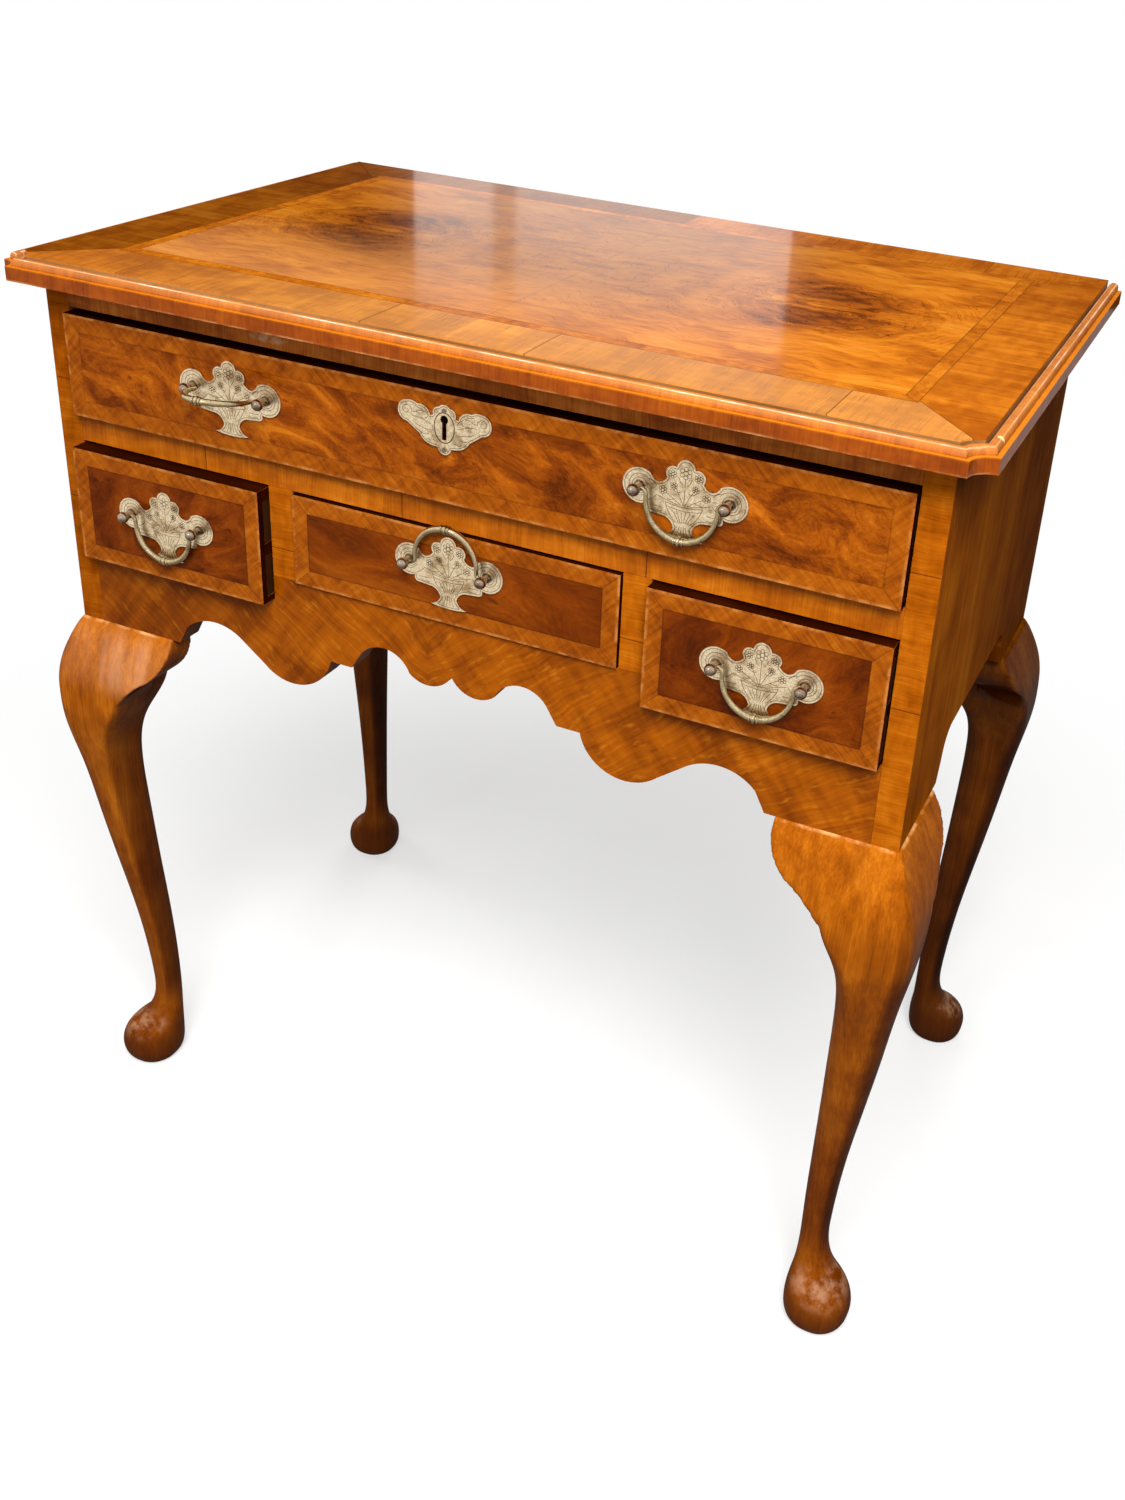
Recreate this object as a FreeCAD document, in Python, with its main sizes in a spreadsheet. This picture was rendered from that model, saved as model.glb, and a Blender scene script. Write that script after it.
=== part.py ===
import FreeCAD, Part
import math
import os
import Sketcher

# A walnut lowboy: one long drawer over three small ones, on cabriole legs.
# +Z is up, the front faces -Y, +X is the viewer's right, lengths are millimetres.
# The origin lies on the floor, under the middle of the whole outline.

DIMENSIONS = {
    # whole piece
    "top_side_overhang": 25.5,
    "top_front_overhang": 26.0,
    "top_back_overhang": 31.0,
    "case_width": 693.0,
    "case_depth": 402.0,
    "leg_height": 468.0,
    # top: square edge, ledge and bead round a core board under veneer
    "edge_height": 10.5,
    "ledge_width": 3.2,
    "bead_width": 7.8,
    "bead_height": 5.6,
    "quirk_width": 1.0,
    "core_thick": 16.5,
    "veneer_thick": 1.2,
    "notch_radius": 15.0,
    "crossband_width": 52.0,
    "back_crossband_width": 40.0,
    "featherband_width": 11.0,
    # case
    "side_thick": 20.0,
    "stile_depth": 22.0,
    "rail_depth": 60.0,
    "frieze_height": 20.0,
    "middle_rail_height": 22.6,
    "muntin_width": 21.0,
    "apron_height": 62.7,
    "apron_thick": 22.0,
    "back_thick": 12.0,
    "back_rail_thick": 22.0,
    "rebate_depth": 8.0,
    "tenon_length": 10.0,
    "tenon_thick": 8.0,
    "tenon_shoulder": 5.0,
    "partition_thick": 19.0,
    "partition_drop": 20.0,
    "runner_width": 28.0,
    "runner_height": 20.0,
    "inner_runner_width": 20.0,
    "stop_length": 15.0,
    "stop_height": 12.0,
    "stop_gap": 0.3,
    # lower edge of the apron: places from the middle line, heights over the case bottom
    "cusp_rise": 38.0,
    "lobe_end_x": 36.0,
    "lobe_end_rise": 31.2,
    "lobe_radius": 23.0,
    "arch_end_x": 80.0,
    "arch_end_rise": 33.5,
    "arch_radius": 24.3,
    "step_x": 87.0,
    "flat_rise": 22.0,
    "flat_end_x": 106.0,
    "drop_end_x": 168.0,
    "drop_end_rise": 3.2,
    "drop_radius": 37.0,
    "side_arch_x": 190.0,
    "side_arch_rise": 20.0,
    "side_arch_end_x": 241.4,
    "side_arch_end_rise": 15.6,
    "side_arch_radius": 40.0,
    "ear_clear": 97.0,
    # lower edge of the sides
    "side_rise": 37.0,
    "side_shoulder": 18.0,
    "side_shoulder_y": 104.0,
    "side_crown_y": 124.0,
    "side_crown_radius": 20.5,
    # ears beside the knees, from the case corner
    "ear_reach": 90.0,
    "ear_lip": 10.0,
    "ear_mid_reach": 66.0,
    "ear_mid_drop": 42.0,
    "ear_end_drop": 64.0,
    "ear_glue_line": 0.6,
    "ear_curve": 44.0,
    "ear_hollow": 75.0,
    "post_width": 40.0,
    "post_rise": 40.0,
    # drawers
    "drawer_side_gap": 0.8,
    "drawer_run_gap": 0.5,
    "long_top_gap": 3.0,
    "small_top_gap": 1.5,
    "long_front_height": 79.0,
    "small_front_height": 91.5,
    "centre_front_height": 71.8,
    "centre_front_width": 265.4,
    "front_thick": 20.0,
    "front_lap": 6.0,
    "lining_thick": 8.5,
    "lining_drop": 5.0,
    "back_drop": 9.0,
    "bottom_thick": 6.0,
    "bottom_rise": 6.0,
    "groove_depth": 4.0,
    "tail_slope": 2.2,
    "pin_width": 9.0,
    "long_proud": 7.3,
    "left_proud": 13.1,
    "centre_proud": 2.5,
    "right_proud": 9.8,
    # brass handles, measured from the line of the two posts
    "long_handle_x": 177.0,
    "long_handle_rise": 46.5,
    "small_handle_rise": 50.0,
    "centre_handle_rise": 46.0,
    "post_half_span": 31.5,
    "plate_thick": 1.5,
    "plate_rise": 23.6,
    "dome_x": 6.4,
    "dome_end": 17.6,
    "dome_radius": 6.5,
    "bud_x": 12.6,
    "bud_end": 9.4,
    "bud_radius": 5.3,
    "valley_x": 19.0,
    "valley_rise": 5.2,
    "valley_radius": 7.5,
    "lobe_ring": 12.2,
    "lobe_start_x": 7.2,
    "hip_x": 4.5,
    "knob_x": 24.6,
    "knob_drop": 16.4,
    "knob_radius": 3.2,
    "belly_start_x": 13.5,
    "belly_start_drop": 17.4,
    "hip_radius": 9.0,
    "waist_x": 6.6,
    "waist_drop": 24.4,
    "foot_x": 14.6,
    "foot_drop": 31.0,
    "foot_hollow": 9.0,
    "foot_radius": 60.0,
    "shank_radius": 2.0,
    "flange_radius": 3.9,
    "flange_thick": 0.9,
    "barrel_radius": 3.0,
    "ball_radius": 4.3,
    "ball_out": 10.0,
    "eye_out": 4.4,
    "pin_fit": 0.08,
    "fit_gap": 0.1,
    "nut_width": 9.0,
    "nut_thick": 3.0,
    "bail_half_span": 25.0,
    "bail_bend": 3.5,
    "bail_drop": 31.0,
    "bail_tip_radius": 1.5,
    "bail_mid_radius": 2.5,
    "bail_tip_over": 1.5,
    "collar_radius": 3.5,
    "collar_width": 2.6,
    "collar_ring_radius": 3.1,
    "collar_ring_width": 1.3,
    "collar_pitch": 2.9,
    "left_bail_angle": 98.0,
    "centre_bail_angle": 181.0,
    # escutcheon and lock, measured from the middle of the keyhole
    "keyhole_rise": 55.6,
    "crest_rise": 16.5,
    "crest_x": 4.3,
    "crest_end": 14.5,
    "crest_radius": 5.4,
    "shoulder_x": 8.6,
    "shoulder_rise": 8.2,
    "shoulder_radius": 4.6,
    "crease_x": 11.0,
    "crease_rise": 7.2,
    "wing_x": 21.0,
    "wing_rise": 13.6,
    "wing_radius": 8.0,
    "tip_top_x": 29.4,
    "tip_top_rise": 14.9,
    "tip_top_radius": 10.0,
    "tip_x": 36.2,
    "tip_rise": 8.0,
    "tip_radius": 7.2,
    "under_x": 29.4,
    "under_drop": 0.3,
    "flank_x": 19.4,
    "flank_drop": 7.2,
    "belly_x": 9.4,
    "belly_drop": 14.0,
    "belly_radius": 13.0,
    "ankle_x": 5.2,
    "ankle_drop": 14.4,
    "toe_drop": 19.2,
    "toe_radius": 5.4,
    "keyhole_radius": 3.0,
    "keyhole_head": 6.0,
    "keyhole_slot": 3.4,
    "keyhole_tail": 8.5,
    "pin_radius": 0.9,
    "pin_head_radius": 1.7,
    "pin_head_thick": 0.7,
    "pin_length": 9.0,
    "top_pin_rise": 12.4,
    "foot_pin_drop": 15.5,
    "lock_width": 62.0,
    "lock_height": 38.0,
    "lock_thick": 10.0,
    "lock_drop": 18.0,
    "bolt_width": 26.0,
    "bolt_thick": 5.0,
    "bolt_rise": 2.0,
    # screws
    "screw_radius": 2.0,
    "screw_head_radius": 4.0,
    "screw_head_thick": 3.0,
    "top_screw_length": 28.0,
    "leg_screw_length": 46.0,
    "leg_screw_low": 12.0,
    "leg_screw_high": 28.0,
    "screw_end_margin": 60.0,
}

# Leg sections from the case corner: name, height, outward reach, inward reach, outer corner
# radius, other corner radii. Heights of the knee count down from the top of the leg.
KNEE_SECTIONS = [
    ("crown", 0.0, 1.2, 45.0, 2.0, 2.0),
    ("brow", 16.0, 9.5, 45.0, 3.0, 2.0),
    ("upper_knee", 36.0, 17.3, 45.0, 7.0, 2.5),
    ("knee_crest", 54.0, 21.4, 45.0, 11.0, 3.5),
    ("knee", 68.0, 22.7, 43.0, 14.0, 6.0),
    ("lower_knee", 93.0, 22.5, 33.5, 17.0, 12.0),
    ("calf", 133.0, 16.4, 28.8, 17.5, 17.5),
    ("upper_shin", 183.0, 9.6, 29.6, 16.0, 16.0),
]
FOOT_SECTIONS = [
    ("shin", 225.0, 1.3, 31.5, 13.2, 13.2),
    ("lower_shin", 160.0, -7.7, 34.0, 10.4, 10.4),
    ("ankle", 92.0, -13.2, 35.7, 9.6, 9.6),
    ("instep", 62.0, -11.6, 36.0, 11.0, 11.0),
    ("slope", 46.0, -4.0, 36.8, 15.0, 15.0),
    ("pad_top", 34.0, 8.2, 38.4, 21.2, 21.2),
    ("pad", 19.0, 14.7, 39.1, 24.6, 24.6),
    ("pad_low", 6.5, 13.2, 37.3, 23.0, 23.0),
    ("sole", 0.0, 8.8, 33.0, 19.2, 19.2),
]
SECTION_SIZES = ("height", "out", "inward", "edge", "round")
BOW_STEPS = 8
RIM_SHARE = 0.35
BEAD_ROUND_SHARE = 0.46

for station in KNEE_SECTIONS + FOOT_SECTIONS:
    for part, number in zip(SECTION_SIZES, station[1:]):
        DIMENSIONS[station[0] + "_" + part] = number

doc = FreeCAD.newDocument("lowboy")
sheet = doc.addObject("Spreadsheet::Sheet", "Sizes")
for row, (alias, number) in enumerate(DIMENSIONS.items(), start=1):
    sheet.set("A%d" % row, alias)
    sheet.set("B%d" % row, str(number))
    sheet.setAlias("B%d" % row, alias)
doc.recompute()


class Size:
    """A length with its number and the spreadsheet expression that gives it."""

    def __init__(self, number, text):
        self.number = number
        self.text = text

    def __add__(self, other):
        other = size(other)
        return Size(self.number + other.number, "(%s + %s)" % (self.text, other.text))

    def __sub__(self, other):
        other = size(other)
        return Size(self.number - other.number, "(%s - %s)" % (self.text, other.text))

    def __mul__(self, other):
        other = size(other)
        return Size(self.number * other.number, "(%s * %s)" % (self.text, other.text))

    def __truediv__(self, other):
        other = size(other)
        return Size(self.number / other.number, "(%s / %s)" % (self.text, other.text))

    def __radd__(self, other):
        return size(other) + self

    def __rsub__(self, other):
        return size(other) - self

    def __rmul__(self, other):
        return size(other) * self

    def __neg__(self):
        return Size(-self.number, "(-1 * %s)" % self.text)


def size(value):
    if isinstance(value, Size):
        return value
    if isinstance(value, str):
        return Size(float(sheet.get(value)), "Sizes." + value)
    return Size(float(value), "%r" % float(value))


def root(value):
    return Size(math.sqrt(value.number), "sqrt(%s)" % value.text)


def sine(degrees):
    return Size(math.sin(math.radians(degrees.number)), "sin(%s * 1deg)" % degrees.text)


class Named:
    """Every spreadsheet size by its alias."""

    def __getattr__(self, alias):
        return size(alias)


d = Named()
nodes = {}
counter = {}


def new(kind, stem):
    counter[stem] = counter.get(stem, 0) + 1
    return doc.addObject(kind, "%s_%d" % (stem, counter[stem]))


def bind(thing, **values):
    for prop, value in values.items():
        thing.setExpression(prop.replace("__", "."), size(value).text)


def place(thing, x=0.0, y=0.0, z=0.0, turn=None):
    """Put a thing at a bound point, with a fixed turn."""
    point = FreeCAD.Vector(size(x).number, size(y).number, size(z).number)
    thing.Placement = FreeCAD.Placement(point, turn or FreeCAD.Rotation())
    bind(thing, Placement__Base__x=x, Placement__Base__y=y, Placement__Base__z=z)
    return thing


def node(label, thing):
    thing.Label = label
    nodes[label] = thing
    return thing


def box(x, y, z):
    """A board between two bound values on each axis."""
    board = new("Part::Box", "board")
    bind(board, Length=x[1] - x[0], Width=y[1] - y[0], Height=z[1] - z[0])
    return place(board, x[0], y[0], z[0])


def rod(start, direction, radius, length):
    """A round bar from a point along a direction."""
    bar = new("Part::Cylinder", "rod")
    bind(bar, Radius=radius, Height=length)
    turn = FreeCAD.Rotation(FreeCAD.Vector(0, 0, 1), FreeCAD.Vector(*direction))
    return place(bar, *start, turn=turn)


def group(things):
    bundle = new("Part::Compound", "group")
    bundle.Links = things
    return bundle


def cut(base, *tools):
    result = new("Part::Cut", "cut")
    result.Base = base
    result.Tool = tools[0] if len(tools) == 1 else group(list(tools))
    return result


def fuse(*things):
    result = new("Part::MultiFuse", "fuse")
    result.Shapes = list(things)
    return result


def mirror(source, normal, x=0.0, y=0.0):
    """A mirrored copy over an upright plane through a bound point."""
    copy = new("Part::Mirroring", "mirror")
    copy.Source = source
    copy.Normal = FreeCAD.Vector(*normal)
    bind(copy, Base__x=x, Base__y=y)
    return copy


def body(stem):
    return new("PartDesign::Body", stem)


def plane(owner, role):
    return [feature for feature in owner.Origin.OriginFeatures if feature.Role == role][0]


def arc_centre(start, end, radius):
    """Centre of the short arc from start to end; a positive radius turns left."""
    dx, dy = end[0] - start[0], end[1] - start[1]
    chord = math.hypot(dx, dy)
    reach = math.copysign(math.sqrt(max(radius * radius - chord * chord / 4, 0.0)), radius)
    return (start[0] + end[0]) / 2 - dy / chord * reach, (start[1] + end[1]) / 2 + dx / chord * reach


def outline(owner, role, path, offset=0.0):
    """A closed sketch. Each path item is a corner (x, y), or (x, y, radius) when an arc leads to it."""
    sketch = owner.newObject("Sketcher::SketchObject", "outline")
    sketch.AttachmentSupport = (plane(owner, role), [""])
    sketch.MapMode = "FlatFace"
    bind(sketch, AttachmentOffset__Base__z=offset)
    add_loop(sketch, path)
    return sketch


def add_loop(sketch, path):
    corners = [(size(item[0]), size(item[1])) for item in path]
    points = [(x.number, y.number) for x, y in corners]
    first = sketch.GeometryCount
    tails, heads, curves, bound = [], [], [], []
    for index, item in enumerate(path):
        start, end = points[index - 1], points[index]
        if len(item) == 2:
            curves.append(Part.LineSegment(FreeCAD.Vector(*start, 0), FreeCAD.Vector(*end, 0)))
            tails.append(1)
            heads.append(2)
            continue
        radius = size(item[2])
        centre = arc_centre(start, end, radius.number)
        circle = Part.Circle(FreeCAD.Vector(*centre, 0), FreeCAD.Vector(0, 0, 1), abs(radius.number))
        first_end, last_end = (start, end) if radius.number > 0 else (end, start)
        angles = [math.atan2(p[1] - centre[1], p[0] - centre[0]) for p in (first_end, last_end)]
        curves.append(Part.ArcOfCircle(circle, angles[0], angles[1]))
        tails.append(1 if radius.number > 0 else 2)
        heads.append(2 if radius.number > 0 else 1)
    sketch.addGeometry(curves, False)
    rules = []
    for index, (x, y) in enumerate(corners):
        curve, following = first + index, first + (index + 1) % len(path)
        spot = (curve, heads[index])
        rules.append(Sketcher.Constraint("Coincident", *spot, following, tails[(index + 1) % len(path)]))
        for kind, value, axis in (("DistanceX", x, -2), ("DistanceY", y, -1)):
            if abs(value.number) < 1e-9:
                rules.append(Sketcher.Constraint("PointOnObject", *spot, axis))
            else:
                bound.append((len(rules), value))
                rules.append(Sketcher.Constraint(kind, -1, 1, *spot, value.number))
        if len(path[index]) == 3:
            radius = size(path[index][2])
            bound.append((len(rules), radius if radius.number > 0 else -radius))
            rules.append(Sketcher.Constraint("Radius", curve, abs(radius.number)))
    start = sketch.ConstraintCount
    sketch.addConstraint(rules)
    for index, value in bound:
        sketch.setExpression("Constraints[%d]" % (start + index), value.text)


def pad(owner, sketch, length, reversed_side=False):
    feature = owner.newObject("PartDesign::Pad", "pad")
    feature.Profile = sketch
    feature.Reversed = reversed_side
    bind(feature, Length=length)
    owner.Tip = feature
    return feature


def both_halves(path):
    """The right half of a symmetric outline, top middle to bottom middle, and its mirror image."""
    whole = list(path)
    for index in range(len(path) - 1, 0, -1):
        before = path[index - 1]
        arc = path[index][2:]
        whole.append((-size(before[0]), before[1]) + tuple(arc))
    return whole[1:]


# Main levels and places, from the driving sizes.
half_case = d.case_width / 2
half_top = half_case + d.top_side_overhang
half_open = half_case - d.side_thick
moulding_width = d.ledge_width + d.bead_width + d.quirk_width
bail_reach = d.bail_drop * sine(d.left_bail_angle) + d.collar_radius
front_reach = d.long_proud + d.plate_thick + d.eye_out + bail_reach
front = (front_reach - d.case_depth - d.top_back_overhang) / 2
rear = front + d.case_depth
middle = front + d.case_depth / 2

drawer_depth = d.case_depth - d.back_rail_thick - d.stop_length - d.stop_gap

small_low = d.leg_height + d.apron_height
rail_low = small_low + d.drawer_run_gap + d.small_front_height + d.small_top_gap
centre_low = rail_low - d.small_top_gap - d.centre_front_height - d.drawer_run_gap
long_low = rail_low + d.middle_rail_height
frieze_low = long_low + d.drawer_run_gap + d.long_front_height + d.long_top_gap
case_top = frieze_low + d.frieze_height
core_top = case_top + d.core_thick
muntin_in = d.centre_front_width / 2 + d.drawer_side_gap
muntin_out = muntin_in + d.muntin_width
partition_in = muntin_in + (d.muntin_width - d.partition_thick) / 2
partition_out = partition_in + d.partition_thick
behind = front + d.stile_depth


def top_outline(inset):
    """The top's plan with notched front corners, drawn in from its front and side edges."""
    x = half_top - inset
    y = front - d.top_front_overhang + inset
    run = root((d.notch_radius + inset) * (d.notch_radius + inset) - inset * inset)
    back = rear + d.top_back_overhang
    notch = d.notch_radius + inset
    start = front - d.top_front_overhang + run
    end = half_top - run
    return [(-x, back), (-x, start), (-end, y, -notch), (end, y), (x, start, -notch), (x, back)]


def build_top():
    core = body("core")
    pad(core, outline(core, "XY_Plane", top_outline(moulding_width), case_top), d.core_thick)

    edge = body("edge")
    pad(edge, outline(edge, "XY_Plane", top_outline(size(0)), case_top), d.edge_height)
    bead_low = case_top + d.edge_height
    bead_inset = d.ledge_width + d.bead_width
    bead = body("bead")
    pad(bead, outline(bead, "XY_Plane", top_outline(d.ledge_width), bead_low), d.bead_height)
    trim = body("bead_trim")
    pad(trim, outline(trim, "XY_Plane", top_outline(bead_inset), bead_low), d.bead_height)
    ring = cut(bead, trim)
    doc.recompute()
    rounded = new("Part::Fillet", "bead_round")
    rounded.Base = ring
    crest = (bead_low + d.bead_height).number
    bead_radius = d.bead_width.number * BEAD_ROUND_SHARE
    rims = []
    for index, rim in enumerate(ring.Shape.Edges, start=1):
        centre = rim.BoundBox
        at_crest = abs(centre.ZMin - crest) < 0.01 and abs(centre.ZMax - crest) < 0.01
        at_end = centre.YMin > (rear + d.top_back_overhang).number - 0.01
        if at_crest and not at_end:
            rims.append((index, bead_radius, bead_radius))
    rounded.Edges = rims
    node("top_edge_moulding", fuse(cut(edge, core), rounded))

    band_line = top_outline(moulding_width)
    inset_x = half_top - moulding_width - d.crossband_width
    near = front - d.top_front_overhang + moulding_width + d.crossband_width
    far = rear + d.top_back_overhang - d.back_crossband_width
    band = body("crossband")
    pad(band, outline(band, "XY_Plane", band_line, core_top), d.veneer_thick)
    inside = box((-inset_x, inset_x), (near, far), (core_top, core_top + d.veneer_thick))
    node("top_crossband", cut(band, inside))

    field_x = inset_x - d.featherband_width
    field_near = near + d.featherband_width
    field_far = far - d.featherband_width
    feather = box((-inset_x, inset_x), (near, far), (core_top, core_top + d.veneer_thick))
    field = box((-field_x, field_x), (field_near, field_far), (core_top, core_top + d.veneer_thick))
    node("top_featherband", cut(feather, field))
    seam = (field_near + field_far) / 2
    leaves = []
    for x in ((-field_x, size(0)), (size(0), field_x)):
        for y in ((field_near, seam), (seam, field_far)):
            leaves.append(box(x, y, (core_top, core_top + d.veneer_thick)))
    node("top_field_veneer", group(leaves))
    return core


def apron_path():
    """Front outline of the apron, from the middle of its top edge round the right half."""
    def rise(value):
        return d.leg_height + value

    arch_end = half_case - d.ear_clear
    return [
        (0, centre_low),
        (muntin_out, centre_low),
        (muntin_out, small_low),
        (half_open, small_low),
        (half_open, d.leg_height),
        (arch_end, d.leg_height),
        (d.side_arch_end_x, rise(d.side_arch_end_rise)),
        (d.side_arch_x, rise(d.side_arch_rise), d.side_arch_radius),
        (d.drop_end_x, rise(d.drop_end_rise)),
        (d.flat_end_x, rise(d.flat_rise), -d.drop_radius),
        (d.step_x, rise(d.flat_rise)),
        (d.arch_end_x, rise(d.arch_end_rise)),
        (d.lobe_end_x, rise(d.lobe_end_rise), d.arch_radius),
        (0, rise(d.cusp_rise), -d.lobe_radius),
    ]


def tenons(low, high, near):
    """Stub tenons at both ends of a rail, rooted in its ends."""
    reach = (half_open - d.tenon_length, half_open + d.tenon_length)
    depth = (near + d.tenon_shoulder, near + d.tenon_shoulder + d.tenon_thick)
    level = (low + d.tenon_shoulder, high - d.tenon_shoulder)
    return box(reach, depth, level), box((-reach[1], -reach[0]), depth, level)


def leg_section(owner, name, level):
    """A rounded square about the leg's diagonal, in the frame of the case corner."""
    out, inward = size(name + "_out"), -size(name + "_inward")
    edge, other = size(name + "_edge"), size(name + "_round")
    path = [
        (inward + other, -out, other),
        (out - edge, -out),
        (out, edge - out, edge),
        (out, -inward - other),
        (out - other, -inward, other),
        (inward + other, -inward),
        (inward, -inward - other, other),
        (inward, other - out),
    ]
    return outline(owner, "XY_Plane", path, level)


def loft(owner, sections):
    feature = owner.newObject("PartDesign::AdditiveLoft", "loft")
    feature.Profile = sections[0]
    feature.Sections = sections[1:]
    owner.Tip = feature
    return feature


def leg_levels():
    for station in KNEE_SECTIONS:
        yield station[0], d.leg_height - size(station[0] + "_height")
    for station in FOOT_SECTIONS:
        yield station[0], size(station[0] + "_height")


def build_leg():
    """The front right leg and its two ears; the other legs mirror them."""
    leg = body("leg")
    place(leg, half_case, front)
    loft(leg, [leg_section(leg, name, level) for name, level in leg_levels()])
    inner = -d.side_thick - d.post_width
    post_y = (front + d.stile_depth, front + d.stile_depth + d.post_width)
    post_x = (half_case + inner, half_case - d.side_thick)
    post = box(post_x, post_y, (d.leg_height, d.leg_height + d.post_rise))
    whole = fuse(leg, post)

    bulge = body("ear_bulge")
    place(bulge, half_case, front)
    levels = list(leg_levels())[:6]
    sections = []
    for name, level in levels:
        out = size(name + "_out")
        path = [(-d.ear_reach, -out), (0, -out), (0, d.apron_thick), (-d.ear_reach, d.apron_thick)]
        sections.append(outline(bulge, "XY_Plane", path, level))
    loft(bulge, sections)
    blank = body("ear_blank")
    place(blank, half_case, front - d.ear_reach)
    root_x = -d.crown_inward - d.ear_glue_line
    path = [
        (-d.ear_reach, d.leg_height),
        (-d.ear_reach, d.leg_height - d.ear_lip),
        (-d.ear_mid_reach, d.leg_height - d.ear_mid_drop, d.ear_curve),
        (root_x, d.leg_height - d.ear_end_drop, -d.ear_hollow),
        (root_x, d.leg_height),
    ]
    pad(blank, outline(blank, "XZ_Plane", path), d.ear_reach + d.case_depth / 2, True)
    front_ear = new("Part::MultiCommon", "ear")
    front_ear.Shapes = [bulge, blank]
    side_ear = mirror(front_ear, (1, 1, 0), half_case, front)
    return whole, front_ear, side_ear


def screw(start, direction, length):
    """A round-headed screw whose head ends at the start point."""
    head = rod(start, direction, d.screw_head_radius, d.screw_head_thick)
    shank = rod(start, direction, d.screw_radius, length)
    return fuse(head, shank)


def screw_hole(start, direction, length):
    head = rod(start, direction, d.screw_head_radius + d.fit_gap, d.screw_head_thick)
    shank = rod(start, direction, d.screw_radius + d.fit_gap, length + d.fit_gap)
    return fuse(head, shank)


def across(thing):
    return mirror(thing, (1, 0, 0))


def to_back(thing):
    return mirror(thing, (0, 1, 0), 0.0, middle)


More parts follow.
